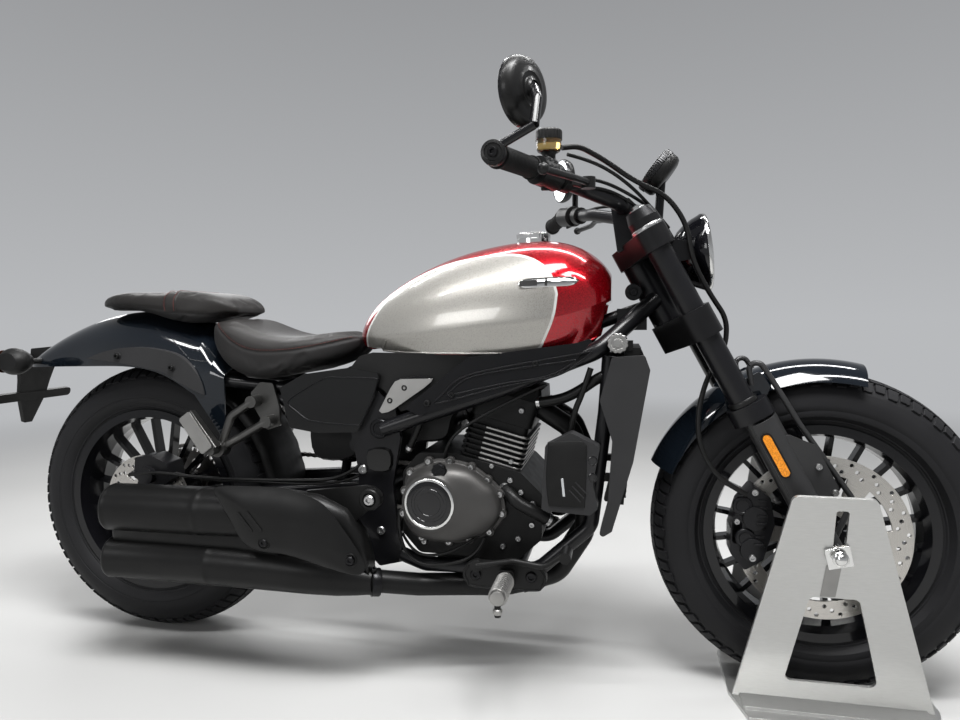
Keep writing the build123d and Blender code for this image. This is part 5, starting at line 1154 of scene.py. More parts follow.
print("cover bolts", len(heads))

# %% [markdown]
# Bolts are dropped from the side on the part that they hold, so a table of bolts says only
# where each one is and how large.

# %% Bolts laid on the parts they hold
HEAD_HEIGHT = 5.0


def bolts_on(name, node_names, table, look, body, hand=-1):
    """Button-head bolts on a side surface, from rows of (x, z, radius)."""
    tree, heads = skin(*node_names), []
    for x, z, radius in table:
        hit = dropped(tree, x, z, hand)[0]
        if hit is not None:
            heads.append(bolt(hit, Vector((0, hand, 0)), radius, HEAD_HEIGHT))
    print(name, len(heads), "of", len(table))
    shape(name, heads, look, body, 30)


TRIM_BOLTS = [(-27, 671, 7), (113, 645, 7)]
bolts_on("cover_screws", ["frame_covers"], [(718, 578, 7), (770, 596, 6), (940, 660, 6)],
         "control_black", "frame")
bolts_on("trim_bolts", ["fender_trims"], TRIM_BOLTS, "control_black", "frame")
bolts_on("trim_bolts_left", ["fender_trims"], TRIM_BOLTS, "control_black", "frame", 1)
bolts_on("peg_bracket_bolts", ["rider_pegs"], [(823, 241, 11), (934, 243, 11)],
         "dark_metal", "frame")

# %% [markdown]
# The silencer is two cans that grow out of one collector. Each can is one skin through rounded
# sections: a rolled lip and a sunken end at the rear, a long even shell, and a narrowing run
# that bends in to the pipe.

# %% Silencer cans, outlets and clamp
UPPER_CAN = [  # x, y, z, half width, half height
    (26, -200, 345, 38, 41), (16, -200, 345, 39, 42), (13, -200, 345, 42, 45),
    (13, -200, 345, 45, 48), (16, -200, 345, 46.6, 50), (20, -200, 345, 46.6, 50),
    (23, -200, 345, 45.8, 49.2), (30, -200, 345, 46.2, 49.8), (120, -200, 345.5, 46.4, 50),
    (225, -200, 346, 46.4, 50), (235, -200, 346, 46.4, 50), (237, -200, 346, 47, 50.8),
    (243, -200, 346, 47, 50.8), (245, -200, 346, 46.4, 50), (255, -200, 346, 46.4, 50),
    (330, -200, 348, 46, 50), (420, -197, 352, 40, 48), (500, -192, 346, 32, 46),
    (560, -188, 322, 28, 44), (592, -184, 282, 24, 40), (606, -182, 246, 20, 24),
]
LOWER_CAN = [
    (26, -200, 236, 36, 37), (16, -200, 236, 37, 38), (13, -200, 236, 40, 41),
    (13, -200, 236, 43, 44), (16, -200, 236, 44.6, 45.6), (20, -200, 236, 44.6, 45.6),
    (23, -200, 236, 43.8, 44.8), (120, -200, 235.6, 44.4, 45.4), (255, -200, 235, 44.4, 45.4),
    (257, -200, 235, 45, 46), (263, -200, 235, 45, 46), (265, -200, 235, 44.4, 45.4),
    (275, -200, 235, 44.4, 45.4), (400, -200, 233, 44, 44), (480, -198, 228, 42, 41),
    (540, -192, 222, 37, 37), (580, -186, 217, 31, 31), (600, -182, 214, 27, 27),
    (612, -179, 212, 26, 26),
]


def skinned(rows, power, steps=64):
    """A skin through superelliptic sections square to the machine's length."""
    points = []
    for x, y, z, half_y, half_z in rows:
        for i in range(steps):
            c, s = math.cos(math.tau * i / steps), math.sin(math.tau * i / steps)
            across = math.copysign(abs(c) ** (2 / power), c)
            above = math.copysign(abs(s) ** (2 / power), s)
            points.append(at(x, y + half_y * across, z + half_z * above))
    return points, ring_faces(len(rows), steps, (0, len(rows) - 1))


web = skinned([(24, -200, 291, 18, 22), (30, -200, 291, 22, 24), (320, -200, 291, 22, 24),
               (420, -200, 290, 30, 26)], 3.2)
arm = [(470, 398), (600, 414), (618, 412), (634, 396), (634, 380), (618, 366), (604, 362),
       (570, 334), (540, 330)]
hanger = plate([arm, circle(612, 388, 11, 30)], at(0, -193, 0), AHEAD, ABOVE, 9)
boss = tube([(11, -16), (20, -16), (22, -14), (22, 7), (20, 9), (14, 9), (13, 6)],
            at(612, -196, 388), TO_RIGHT, 48)
silencer = shape("silencer", [skinned(UPPER_CAN, 2.35), skinned(LOWER_CAN, 2.25), web, hanger,
                              boss], "exhaust_black", "frame", 42)
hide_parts("mufflers")
BORE = [(20.5, 12), (20.5, -3), (18, -3.4), (16.6, -2), (16.6, 10), (1, 10)]
bores = [turn(BORE, at(14, -200, z), AHEAD, 48) for z in (341, 237)]
shape("silencer_outlets", bores, "dark_metal", "frame", 40)
shape("silencer_end_bolt", [bolt(at(6, -214, 340), -AHEAD, 6, 8)], "polished_metal", "frame",
      30)
shape("hanger_bolt", [bolt(at(612, -204, 388), TO_RIGHT, 11, 6)], "axle_steel", "frame",
      30)
clamp_at, clamp_way = at(612, -177, 210), Vector((0.84, 0.47, -0.1)).normalized()
clamp = tube([(24, -9), (27.6, -9), (28.4, -7.4), (28.4, 7.4), (27.6, 9), (24, 9)], clamp_at,
             clamp_way, 48)
lug = bolt(clamp_at + Vector((0, -0.012, 0.028)), Vector((0.4, -0.4, 0.8)), 6, 9)
shape("silencer_clamp", [clamp, lug], "dark_metal", "frame", 40)
print("silencer faces", len(silencer.data.polygons))

# %% [markdown]
# The exhaust shield is pressed sheet: a soft dome with two slots and two bolts in dished
# seats. Its outline is drawn again as one smooth loop, and the dome is a stack of that loop
# drawn in towards its middle.

# %% Domed exhaust shield
SHIELD = [(300, 412), (382, 417), (450, 416), (503, 403), (540, 382), (581, 332), (610, 291),
          (619, 272), (613, 255), (592, 251), (560, 256), (506, 269), (452, 281), (391, 286),
          (354, 304), (330, 344), (302, 388)]
SHIELD_FACE, SHIELD_RISE, SHIELD_POWER = -247.8, 15.0, 2.6
SHIELD_SLOT = [(-23, -3), (-25, 0), (-23, 3), (23, 3), (25, 0), (23, -3)]
SHIELD_SEAT = [(14, -1.5), (13.4, 0.6), (12, 1.0), (10.5, 0.2), (9.5, -1.0), (1, -1.2)]
shield_line, shield_middle = closed_line(SHIELD, 8), Vector((455, 340))


def dome(rise, shares):
    """The shield's outline as rings, each drawn in by its share and raised."""
    points = []
    for share in shares:
        depth = rise * (1 - share ** SHIELD_POWER)
        for p in shield_line:
            spot = shield_middle + (p - shield_middle) * share
            points.append(at(spot.x, SHIELD_FACE - depth, spot.y))
    return points, ring_faces(len(shares), len(shield_line))


back_rim = dome(0, (0.985, 1.0))
front = dome(SHIELD_RISE, (1.0, 0.985, 0.96, 0.92, 0.86, 0.78, 0.68, 0.56, 0.42, 0.26, 0.1))
shield_tree = BVHTree.FromPolygons(*front)
closing = tuple(range(len(front[0]) - len(shield_line), len(front[0])))
shield = shape("domed_shield", [back_rim, (front[0], front[1] + [closing])], "exhaust_black",
               "frame", 60)
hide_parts("heat_shield")


def on_shield(x, z, lift):
    """A place on the shield's face, seen from the right."""
    return dropped(shield_tree, x, z)[0] + TO_RIGHT * lift * MM


slant = Vector((math.cos(math.radians(-48)), 0, math.sin(math.radians(-48))))
slots = [plate([SHIELD_SLOT], on_shield(x, z, 2.2), slant, TO_RIGHT.cross(slant), 4)
         for x, z in ((368, 345), (390, 349))]
shape("shield_slots", slots, "tail_black", "frame", 30)
seats, heads = [], []
for x, z in ((408, 306), (590, 281)):
    spot = on_shield(x, z, 0.4)
    seats.append(tube(SHIELD_SEAT, spot, TO_RIGHT, 36))
    heads.append(bolt(spot, TO_RIGHT, 8.2, 3.4))
shape("shield_seats", seats, "exhaust_black", "frame", 40)
shape("shield_bolts", heads, "dark_metal", "frame", 30)
print("shield loop", len(shield_line))

# %% [markdown]
# The fork guards carry a long amber reflector and two bolts on the flange. The reflector is a
# rounded bar that lies along the fork, so it is drawn in the fork's own two directions.

# %% Fork reflectors and guard bolts
RAKE = math.radians(28)
UP_FORK = Vector((-math.sin(RAKE), 0, math.cos(RAKE)))
OFF_FORK = Vector((math.cos(RAKE), 0, math.sin(RAKE)))


def rounded(length, width, steps=8):
    """A bar's outline with round ends, lying along its first direction."""
    half, radius = length / 2 - width / 2, width / 2
    turns = [math.pi * (i / steps - 0.5) for i in range(steps + 1)]
    ends = [(half + radius * math.cos(a), radius * math.sin(a)) for a in turns]
    return ends + [(-x, -y) for x, y in ends]


def reflector(place, out, length, width, thickness):
    """A lens bar lying along the fork, standing out by its thickness."""
    return plate([rounded(length, width)], place + out * thickness * MM, UP_FORK,
                 -out.cross(UP_FORK).normalized(), thickness)


lenses, rims = [], []
for hand, out in SIDES:
    face = at(1384, hand * 140.6, 492)
    lenses.append(reflector(face, out, 84, 15, 3.4))
    rims.append(reflector(face, out, 92, 22, 1.2))
shape("fork_reflectors", lenses, "lamp_amber", "steering", 30)
shape("fork_reflector_rims", rims, "control_black", "steering", 30)
GUARD_BOLTS = [(1461, 471, 6.5), (1490, 424, 6.5)]
bolts_on("guard_bolts", ["fork_lowers"], GUARD_BOLTS, "axle_steel", "steering")
bolts_on("guard_bolts_left", ["fork_lowers"], GUARD_BOLTS, "axle_steel", "steering",
         1)
print("reflectors", len(lenses))

# %% [markdown]
# A machined band and an adjuster nut crown each fork tube above the grey casting. They are
# turned here and follow the fork's lean.

# %% Fork caps, adjusters, bands and seals
FORK_FOOT, FORK_OFFSET, FORK_Y = at(1435.5, 0, 293.7), 45.0, 105.0
FORK_TOP, FORK_CAP = 724.5, [(17, -3), (17, 3), (15.5, 4.4), (10, 4.6)]
ADJUSTER = [(9, 4), (9, 9), (8, 10), (4, 10.2)]
FORK_BAND = [(31.4, -46), (32.2, -45), (32.2, -36), (31.4, -35)]
FORK_SEAL = [(25.2, 302), (27.5, 303), (27.5, 310), (25.6, 313), (24.2, 313)]


def up_fork(s, out):
    """A place on a fork leg's axis, s above its foot."""
    return FORK_FOOT + (UP_FORK * s + OFF_FORK * FORK_OFFSET) * MM + out * FORK_Y * MM


caps, bands, seals = [], [], []
for _, out in SIDES:
    top = up_fork(FORK_TOP, out)
    caps += [turn(FORK_CAP, top, UP_FORK, 48), turn(ADJUSTER, top, UP_FORK, 6)]
    bands.append(turn(FORK_BAND, top, UP_FORK, 96, 48, 0.3))
    seals.append(turn(FORK_SEAL, up_fork(0, out), UP_FORK, 60))
shape("fork_caps", caps, "axle_steel", "steering", 30)
shape("fork_bands", bands, "axle_steel", "steering", 40)
shape("fork_seals", seals, "control_black", "steering", 40)
print("fork caps", len(caps))

# %% [markdown]
# Cables run from the switch boxes to behind the headlight, and move with the bars. Each is a
# smooth line through a few points.

# %% Bar cables
CABLES = [  # lines of (x, y, z), the right side's first
    [(962, -262, 988), (1000, -216, 1002), (1062, -150, 1010), (1128, -84, 986), (1182, -46, 950),
     (1206, -36, 905)],
    [(968, -258, 976), (1010, -206, 984), (1070, -142, 996), (1134, -74, 970), (1180, -40, 930)],
    [(1010, -228, 1040), (1046, -196, 1036), (1096, -140, 1018), (1150, -86, 978),
     (1196, -52, 926)],
]
CABLES += [[(x, -y, z) for x, y, z in line] for line in CABLES[:2]]
CABLES.append([(1052, 226, 990), (1092, 196, 1008), (1140, 140, 1004), (1184, 92, 960),
               (1204, 62, 900)])
runs = [[at(*point) for point in line] for line in CABLES]
wire("bar_cables", runs, 3.4, "hose_rubber", "steering")
print("cables", len(runs))

# %% [markdown]
# The rear indicators are round bullets with a smoked lens at the back, a shallow dome.

# %% Rear indicator lenses
REAR_LENS = [(26, 2), (25.5, 0), (22, -5), (14, -8), (1, -9)]
lenses = [turn(REAR_LENS, at(-297, hand * 168, 660), AHEAD, 48) for hand, _ in SIDES]
shape("rear_indicator_lenses", lenses, "lamp_smoke", "frame", 40)
print("rear lenses", len(lenses))

# %% [markdown]
# The passenger's seat has a strap across it, sewn along both edges. It follows the seat's
# section, which is read with rays from above and from the sides.

# %% Strap over the passenger's seat
STRAP_X, STRAP_WIDTH = 96, 34
pillion_tree = tree_of(pillion.data)


def strap_row(x, count, lift):
    """Points over the seat at this place, from its right edge to its left edge."""
    row = []
    for step in range(count + 1):
        angle = math.radians(-4 + 188 * step / count)
        out = Vector((0, -math.cos(angle), math.sin(angle)))
        hit, normal = pillion_tree.ray_cast(at(x, 0, 778) + out * 0.3, -out)[:2]
        if hit is not None:
            row.append(hit + (normal if normal.dot(out) > 0 else -normal) * lift * MM)
    return row


edges = [(-1.0, 0.1), (-0.94, 1.2), (-0.4, 1.5), (0.4, 1.5), (0.94, 1.2), (1.0, 0.1)]
rows = [strap_row(STRAP_X + share * STRAP_WIDTH / 2, 44, rise) for share, rise in edges]
wide = min(len(row) for row in rows)
points = [point for row in rows for point in row[:wide]]
shape("seat_strap", [(points, sheet_faces(len(rows), wide))], "seat_leather", "frame",
      50)
sewn = []
for share in (-0.72, 0.72):
    line = strap_row(STRAP_X + share * STRAP_WIDTH / 2, 60, 2.0)
    for i in range(1, len(line) - 1):
        step = (line[i + 1] - line[i - 1]) * 0.3
        sewn.append([line[i] - step, line[i], line[i] + step])
wire("strap_stitches", sewn, 0.5, "thread", "frame")
print("strap points", len(points))

# %% [markdown]
# The cooling fins are painted black and then milled, so their edges shine. Each edge is a
# thin strip that follows the fin round its front corner.

# %% Bright edges of the cooling fins
BORE_AT = at(838, 0, 452)
BORE_UP = Vector((math.sin(math.radians(15)), 0, math.cos(math.radians(15))))
BORE_AHEAD = Vector((BORE_UP.z, 0, -BORE_UP.x))
FIN_HALF_X, FIN_HALF_Y, FIN_CORNER, FIN_START = 67.0, 107.0, 14.0, -24


def fin_edge(low, high, out):
    """A strip over a fin's milled edge, along its side and round its front corner."""
    path = [(FIN_START, FIN_HALF_Y), (10, FIN_HALF_Y)]
    for i in range(7):
        a = math.radians(15 * i)
        path.append((FIN_HALF_X - FIN_CORNER * (1 - math.sin(a)),
                     FIN_HALF_Y - FIN_CORNER * (1 - math.cos(a))))
    path += [(FIN_HALF_X, 60), (FIN_HALF_X, 0)]
    points = []
    for x, y in path:
        for rise, lift in ((low, 0.0), (low + 0.4, 0.7), (high - 0.4, 0.7), (high, 0.0)):
            ahead = x + (lift if x >= FIN_HALF_X - 1 else 0)
            aside = y * (1 + lift / FIN_HALF_Y)
            points.append(BORE_AT + (BORE_AHEAD * ahead + BORE_UP * rise + out * aside) * MM)
    return points, sheet_faces(len(path), 4)


edges = [fin_edge(2 + row * 11, 6 + row * 11, out) for row in range(7) for _, out in SIDES]
shape("fin_edges", edges, "plate_alloy", "frame", 40)
print("fin edges", len(edges))

# %% [markdown]
# Behind the cylinders sit the air box and two throttle bodies, a dark mass between the
# frame's plates. The box is a moulding, so its side is stepped in twice rather than cut
# square.

# %% Air box, throttle bodies and inner panels
MOULD_ROWS = [(-0.2, 1.0), (0, 1.0), (0.5, 0.96), (0.85, 0.93), (1.0, 0.86)]  # share out, size


def moulding(outline, depth):
    """A moulded block from the machine's middle out to one side, drawn in near its face."""
    middle = Vector((sum(x for x, _ in outline), sum(z for _, z in outline))) / len(outline)
    line, points = closed_line(outline, 4), []
    for share, size in MOULD_ROWS:
        for p in line:
            spot = middle + (p - middle) * size
            points.append(at(spot.x, depth * share, spot.y))
    return points, ring_faces(len(MOULD_ROWS), len(line), [len(MOULD_ROWS) - 1])


BOX = [(662, 486), (700, 480), (748, 492), (764, 540), (800, 590), (790, 632), (700, 646),
       (600, 632), (576, 600), (650, 560)]
TRAY = [(430, 440), (520, 436), (548, 470), (552, 540), (540, 600), (440, 600), (420, 540)]
THROTTLE = [(24, 0), (29, 2), (29, 10), (25, 12), (25, 34), (30, 36), (30, 44), (25, 46), (25, 70)]
UNDER_TANK = [(540, 646), (562, 672), (592, 680), (700, 678), (936, 675), (1062, 690), (1016, 660),
              (946, 640), (865, 621), (739, 580), (652, 556), (616, 600)]
boxes = [moulding(form, hand * depth) for form, depth in ((BOX, 92), (TRAY, 84))
         for hand, _ in SIDES]
shape("air_box", boxes, "tail_black", "frame", 40)
bodies = [turn(THROTTLE, at(740, hand * 50, 545), (0.94, 0, 0.34), 40) for hand, _ in SIDES]
shape("throttle_bodies", bodies, "dark_metal", "frame", 40)
panels = [plate([UNDER_TANK], at(0, hand * 116, 0), AHEAD, ABOVE, hand * 3) for hand, _ in SIDES]
shape("under_tank_panels", panels, "tail_black", "frame", 30)
print("inner panels", len(panels))

# %% [markdown]
# A curved inner guard stands between the rear tyre and the shock. It is one pressed sheet
# whose section follows the tyre's, with stiffening ribs.

# %% Inner guard ahead of the rear wheel
AXLE_RISE, GUARD_RADIUS, GUARD_HALF, GUARD_STEPS = 323.0, 338.0, 82.0, 30
GUARD_SECTION = [(-1.0, -14), (-0.96, -3), (-0.8, 3), (-0.4, 6), (0.0, 7), (0.4, 6), (0.8, 3),
                 (0.96, -3), (1.0, -14)]  # share across, drop
points = []
for i in range(GUARD_STEPS + 1):
    angle = math.radians(6 + 56 * i / GUARD_STEPS)
    rib = 1.6 if i % 6 in (2, 3) else 0.0
    for across, drop in GUARD_SECTION:
        reach = GUARD_RADIUS + drop + rib
        points.append(at(reach * math.cos(angle), across * GUARD_HALF,
                         AXLE_RISE + reach * math.sin(angle)))
sheet = sheet_faces(GUARD_STEPS + 1, len(GUARD_SECTION))
guard = shape("inner_guard", [(points, sheet)], "tail_black", "frame", 50)
thick = guard.modifiers.new("sheet", "SOLIDIFY")
thick.thickness = 0.0025
worked(guard)
print("inner guard faces", len(guard.data.polygons))

# %% [markdown]
# The small dark hoses and pipes round the engine are what make it read as an engine. Each is
# a smooth tube through a few points, fixed at both ends.

# %% Hoses and wires round the engine
HOSES = [  # radius, points as (x, y, z)
    (13.0, [(868, -104, 404), (884, -128, 392), (906, -133, 374), (938, -132, 360),
            (968, -118, 338)]),
    (11.0, [(1088, -92, 640), (1062, -104, 632), (1020, -100, 600), (975, -92, 580),
            (930, -84, 575)]),
    (7.0, [(664, -112, 470), (690, -118, 520), (700, -116, 560), (760, -104, 600)]),
    (6.0, [(1006, -108, 520), (1012, -116, 560), (1030, -120, 600), (1046, -118, 650)]),
    (3.4, [(648, -126, 340), (652, -146, 292), (689, -150, 241), (763, -150, 247),
           (822, -148, 270), (833, -140, 303)]),
    (3.0, [(655, -128, 300), (680, -142, 262), (740, -146, 262), (800, -140, 290),
           (826, -130, 310)]),
    (3.2, [(744, -120, 452), (752, -132, 500), (820, -130, 548), (900, -128, 590),
           (960, -124, 618)]),
    (4.0, [(-6, -124, 396), (63, -124, 407), (141, -122, 398), (243, -120, 396), (414, -120, 399),
           (520, -122, 407), (560, -120, 440)]),
    (3.4, [(110, -118, 404), (180, -118, 390), (300, -120, 394), (420, -120, 392),
           (530, -118, 400), (572, -110, 424)]),
    (9.0, [(700, 60, 470), (720, 96, 520), (760, 110, 560), (840, 104, 590)]),
    (4.0, [(640, 120, 300), (700, 132, 262), (780, 134, 255), (860, 128, 262)]),
]
for i, (radius, route) in enumerate(HOSES):
    wire("engine_hose_" + str(i), [[at(*point) for point in route]], radius, "hose_rubber",
         "frame")
clips = []
for radius, route in HOSES[:3]:
    for a, b in ((route[0], route[1]), (route[-1], route[-2])):
        start, way = at(*a), (at(*b) - at(*a)).normalized()
        clips.append(turn([(radius - 0.5, 6), (radius + 1.4, 6), (radius + 1.4, 13),
                           (radius - 0.5, 13)], start, way, 32))
shape("hose_clips", clips, "axle_steel", "frame", 40)
print("hoses", len(HOSES))

# %% [markdown]
# The engine also carries a filler plug and a scatter of bolts, which catch the light. They
# are dropped on the carried-over castings.

# %% Plug and engine bolts
plug_at = dropped(cover_skin, 747, 444)[0]
plug = [turn([(15, -2), (15, 5), (13.5, 7), (11, 7.4), (1, 7.4)], plug_at, TO_RIGHT, 48, 8, 0.8),
        plate([oblong(11, 2.5)], plug_at + TO_RIGHT * 11 * MM, (0.8, 0, 0.6), (-0.6, 0, 0.8), 4)]
shape("oil_plug", plug, "dark_metal", "frame", 35)
bolts_on("case_bolts", ["crankcase", "cylinder_block", "cylinder_head"],
         [(884, 420, 6), (906, 396, 6), (928, 330, 6), (900, 300, 6), (868, 282, 6),
          (700, 282, 6), (930, 372, 7), (846, 448, 5), (884, 456, 5), (905, 560, 6),
          (948, 566, 6), (868, 600, 6)],
         "axle_steel", "frame")
bolts_on("case_bolts_left", ["crankcase", "generator_cover", "cylinder_head"],
         [(884, 420, 6), (928, 330, 6), (900, 300, 6), (720, 300, 6), (728, 436, 6),
          (668, 345, 6), (790, 446, 5), (850, 410, 5), (862, 350, 5), (790, 298, 5),
          (905, 560, 6), (948, 566, 6)],
         "axle_steel", "frame", 1)
bolts_on("frame_bolts", ["pivot_plates", "lower_cradle"],
         [(565, 430, 10), (600, 455, 8), (604, 300, 9), (583, 368, 12)],
         "axle_steel", "frame")
print("engine small parts done")

# %% [markdown]
# A radiator's core is rows of flat water tubes with crimped fins between them. From the front
# it is the largest open surface of the machine, so the tubes are bars with a zigzag strip
# between each pair. Its cap and the bolt of the steering head are turned in the same cell.

# %% Radiator core, cap and head bolt
RAD_LOW, RAD_HIGH = at(1111.5, 0, 387), at(1141, 0, 682)
rad_up = (RAD_HIGH - RAD_LOW).normalized()
rad_out = TO_LEFT.cross(rad_up).normalized()
rad_height = (RAD_HIGH - RAD_LOW).length / MM
TUBES, CORE_HALF, FIN_PITCH = 26, 108.0, 4.5
tubes, crimps = [], []
for i in range(TUBES):
    rise = rad_height * (i + 0.5) / TUBES
    base = RAD_LOW + rad_up * rise * MM
    tubes.append(plate([oblong(CORE_HALF, 1.2)], base + rad_out * 2.2 * MM, TO_LEFT, rad_up, 3))
    points, count = [], int(2 * CORE_HALF / FIN_PITCH)
    for step in range(count + 1):
        y = -CORE_HALF + step * FIN_PITCH
        zigzag = 1.4 if step % 2 else rad_height / TUBES - 1.4
        spot = base + (TO_LEFT * y + rad_up * zigzag) * MM
        points += [spot + rad_out * 0.2 * MM, spot + rad_out * 1.8 * MM]
    crimps.append((points, sheet_faces(count + 1, 2)))
shape("radiator_tubes", tubes, "dark_metal", "frame", 30)
shape("radiator_fins", crimps, "dark_metal", "frame", 10)
RAD_CAP = [(17, -8), (17.5, -6), (19.2, -5), (19.2, 1.2), (18, 2.2), (13, 2.6),
           (12.4, 1.8), (9, 1.8), (8, 2.8), (1, 3.0)]
shape("radiator_cap", [turn(RAD_CAP, at(1098, -133.0, 699), TO_RIGHT, 120, 12, 0.9)],
      "plate_alloy", "frame", 35)
HEAD_WASHER = [(17, -14), (17, 2), (15, 4), (11, 4), (11, 2), (1, 2)]
shape("head_bolt", [turn(HEAD_WASHER, at(1128, -60, 800), TO_RIGHT, 40),
                    bolt(at(1128, -62, 800), TO_RIGHT, 8, 5)], "dark_metal", "frame",
      35)
print("radiator tubes", TUBES, "fins", TUBES * count)

# %% [markdown]
# The overflow tank's cover is moulded with a raised panel, a slit to read the level, two
# round notches and three ribs.

# %% Overflow tank cover
def raised(name, outline, y, depth, look, bevel):
    """A raised panel with a bevelled edge on the right side."""
    line = closed_line(outline, 3)
    middle = sum(line, Vector((0, 0))) / len(line)
    size = sum((p - middle).length for p in line) / len(line)
    points = []
    for share, out in ((1.0, 0.0), (1.0, depth * 0.6), (1 - bevel / size, depth)):
        points += [at(middle.x + (p.x - middle.x) * share, -y - out,
                      middle.y + (p.y - middle.y) * share) for p in line]
    shape(name, [(points, ring_faces(3, len(line), [2]))], look, "frame", 50)


PANEL = [(966, 500), (970, 508), (1026, 512), (1036, 506), (1041, 492), (1037, 392), (1030, 382),
         (974, 382), (966, 390), (962, 440)]
raised("tank_cover_panel", PANEL, 157.6, 3.2, "tail_black", 2.0)
shape("level_slit", [plate([oblong(2.4, 18)], at(995, -161.0, 420), (0.995, 0, 0.1),
                           (-0.1, 0, 0.995), 1.0)], "mirror_glass", "frame")
NOTCH = [(9, -1), (9, 0.8), (7.4, 1.4), (6.8, -0.4), (1, -0.4)]
notches = [turn(NOTCH, at(1052, -157.8, z), TO_RIGHT, 32) for z in (474, 441)]
shape("tank_cover_notches", notches, "lamp_glass", "frame", 40)
ribs = [plate([oblong(16, 1.2)], at(x, -161.6, z), (0.7, 0, -0.71), (0.71, 0, 0.7), 1.6)
        for x, z in ((1018, 404), (1024, 412), (1030, 420))]
shape("tank_cover_ribs", ribs, "trim_grey", "frame", 30)
print("tank cover done")

# %% [markdown]
# A roller chain is inner and outer pairs of plates joined by pins, with a roller on each pin.
# The links stand at an even pitch along a loop round the two sprockets.

# %% Roller chain
CHAIN_Y, PITCH, PLATE_HALF, WAIST, OUTER_PLATE, INNER_PLATE = 90.0, 15.875, 5.2, 3.6, 3.7, 2.4
ROLLER, PIN = [(4.4, -2.6), (4.4, 2.6)], [(2.0, -4.95), (2.0, 4.95)]
BIG, SMALL = (Vector((0.0, AXLE_RISE)), 104.3), (Vector((664.0, 352.0)), 46.3)


def chain_loop():
    """Points along the chain: an arc round each sprocket, with straight runs between them."""
    gap = SMALL[0] - BIG[0]
    lean = math.atan2(gap.y, gap.x)
    open_by = math.acos((BIG[1] - SMALL[1]) / gap.length)
    places = []
    for (centre, radius), first, last in ((BIG, lean + open_by, lean - open_by + math.tau),
                                          (SMALL, lean - open_by, lean + open_by)):
        for i in range(181):
            a = first + (last - first) * i / 180
            places.append(centre + Vector((math.cos(a), math.sin(a))) * radius)
    return places + places[:1]


loop = chain_loop()
lengths = [0.0]
for a, b in zip(loop, loop[1:]):
    lengths.append(lengths[-1] + (b - a).length)
links = 2 * round(lengths[-1] / PITCH / 2)
pins, j = [], 0
for i in range(links):
    reach = lengths[-1] * i / links
    while lengths[j + 1] < reach:
        j += 1
    share = (reach - lengths[j]) / (lengths[j + 1] - lengths[j])
    pins.append(loop[j].lerp(loop[j + 1], share))
plates, rollers = [], []
bends = [math.radians(-90 + 30 * k) for k in range(7)]
for i, pin in enumerate(pins):
    after = pins[(i + 1) % links]
    way, half = (after - pin).normalized(), (after - pin).length / 2
    right, up = Vector((way.x, 0, way.y)), Vector((-way.y, 0, way.x))
    fore = [(half + PLATE_HALF * math.cos(a), PLATE_HALF * math.sin(a)) for a in bends]
    outline = fore + [(0, WAIST)] + [(-x, y) for x, y in reversed(fore)] + [(0, -WAIST)]
    spot = (pin + after) / 2
    for side in (-1, 1):
        y = CHAIN_Y + side * (OUTER_PLATE if i % 2 else INNER_PLATE)
        plates.append(plate([outline], at(spot.x, y, spot.y), right, up, side * 1.2))
    rollers += [turn(ROLLER, at(pin.x, CHAIN_Y, pin.y), TO_LEFT, 12),
                turn(PIN, at(pin.x, CHAIN_Y, pin.y), TO_LEFT, 8)]
chain = shape("roller_chain", plates + rollers, "chain_steel", "frame", 40)
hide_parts("drive_chain")
print("links", links, "faces", len(chain.data.polygons))

# %% [markdown]
# A satin plate with two black bolts covers the frame's triangle on each side. The side covers
# have a pressed line that follows their outline, and the frame covers have two.

# %% Triangle plates and side cover lines
TRIANGLE = [(608, 558), (634, 606), (644, 620), (656, 625), (726, 627), (722, 620), (706, 607),
            (640, 562), (628, 556), (614, 553)]
plates = [plate([TRIANGLE], at(0, hand * 127.5, 0), AHEAD, ABOVE, hand * 2.4)
          for hand, _ in SIDES]
heads = [bolt(at(x, hand * 127.5, z), out, 6.4, 4) for hand, out in SIDES
         for x, z in ((664, 607), (632, 580))]
shape("triangle_plates", plates, "plate_alloy", "frame", 30)
shape("triangle_bolts", heads, "control_black", "frame", 30)
PRESSED_LINE = [(402, 574), (440, 600), (490, 626), (520, 628), (598, 627), (607, 622), (605, 610),
                (590, 574), (570, 534), (560, 528), (520, 529), (467, 533), (445, 538), (420, 556)]


def line_on(tree, line, hand, lift):
    """A line dropped on a side surface; points that miss it are left out."""
    hits = [dropped(tree, p.x, p.y, hand)[0] for p in line]
    return [hit + Vector((0, hand, 0)) * lift * MM for hit in hits if hit is not None]


cover_tree = skin("side_covers")
lines = [line_on(cover_tree, closed_line(PRESSED_LINE, 3), hand, 0.2) for hand, _ in SIDES]
wire("side_cover_lines", lines, 1.3, "dark_metal", "frame", True)
FRAME_COVER = [(730, 575), (746, 594), (786, 630), (868, 652), (958, 669), (1024, 681),
               (1052, 684), (988, 638), (868, 611), (765, 582)]
middle = sum((Vector(p) for p in FRAME_COVER), Vector((0, 0))) / len(FRAME_COVER)
cover_rims = []
for hand, _ in SIDES:
    for share, y in ((0.97, 145.4), (0.80, 145.2)):
        line = closed_line([middle + (Vector(p) - middle) * Vector((share, share * share))
                            for p in FRAME_COVER], 4)
        cover_rims.append([at(p.x, hand * y, p.y) for p in line])
wire("frame_cover_rims", cover_rims, 2.2, "dark_metal", "frame", True)
print("triangle plates", len(plates), "cover line points", len(lines[0]))

# %% [markdown]
# The rear fender is two pressings, and the joint between them shows as a crease that runs
# forward and down. A thin raised bead follows it on both sides.

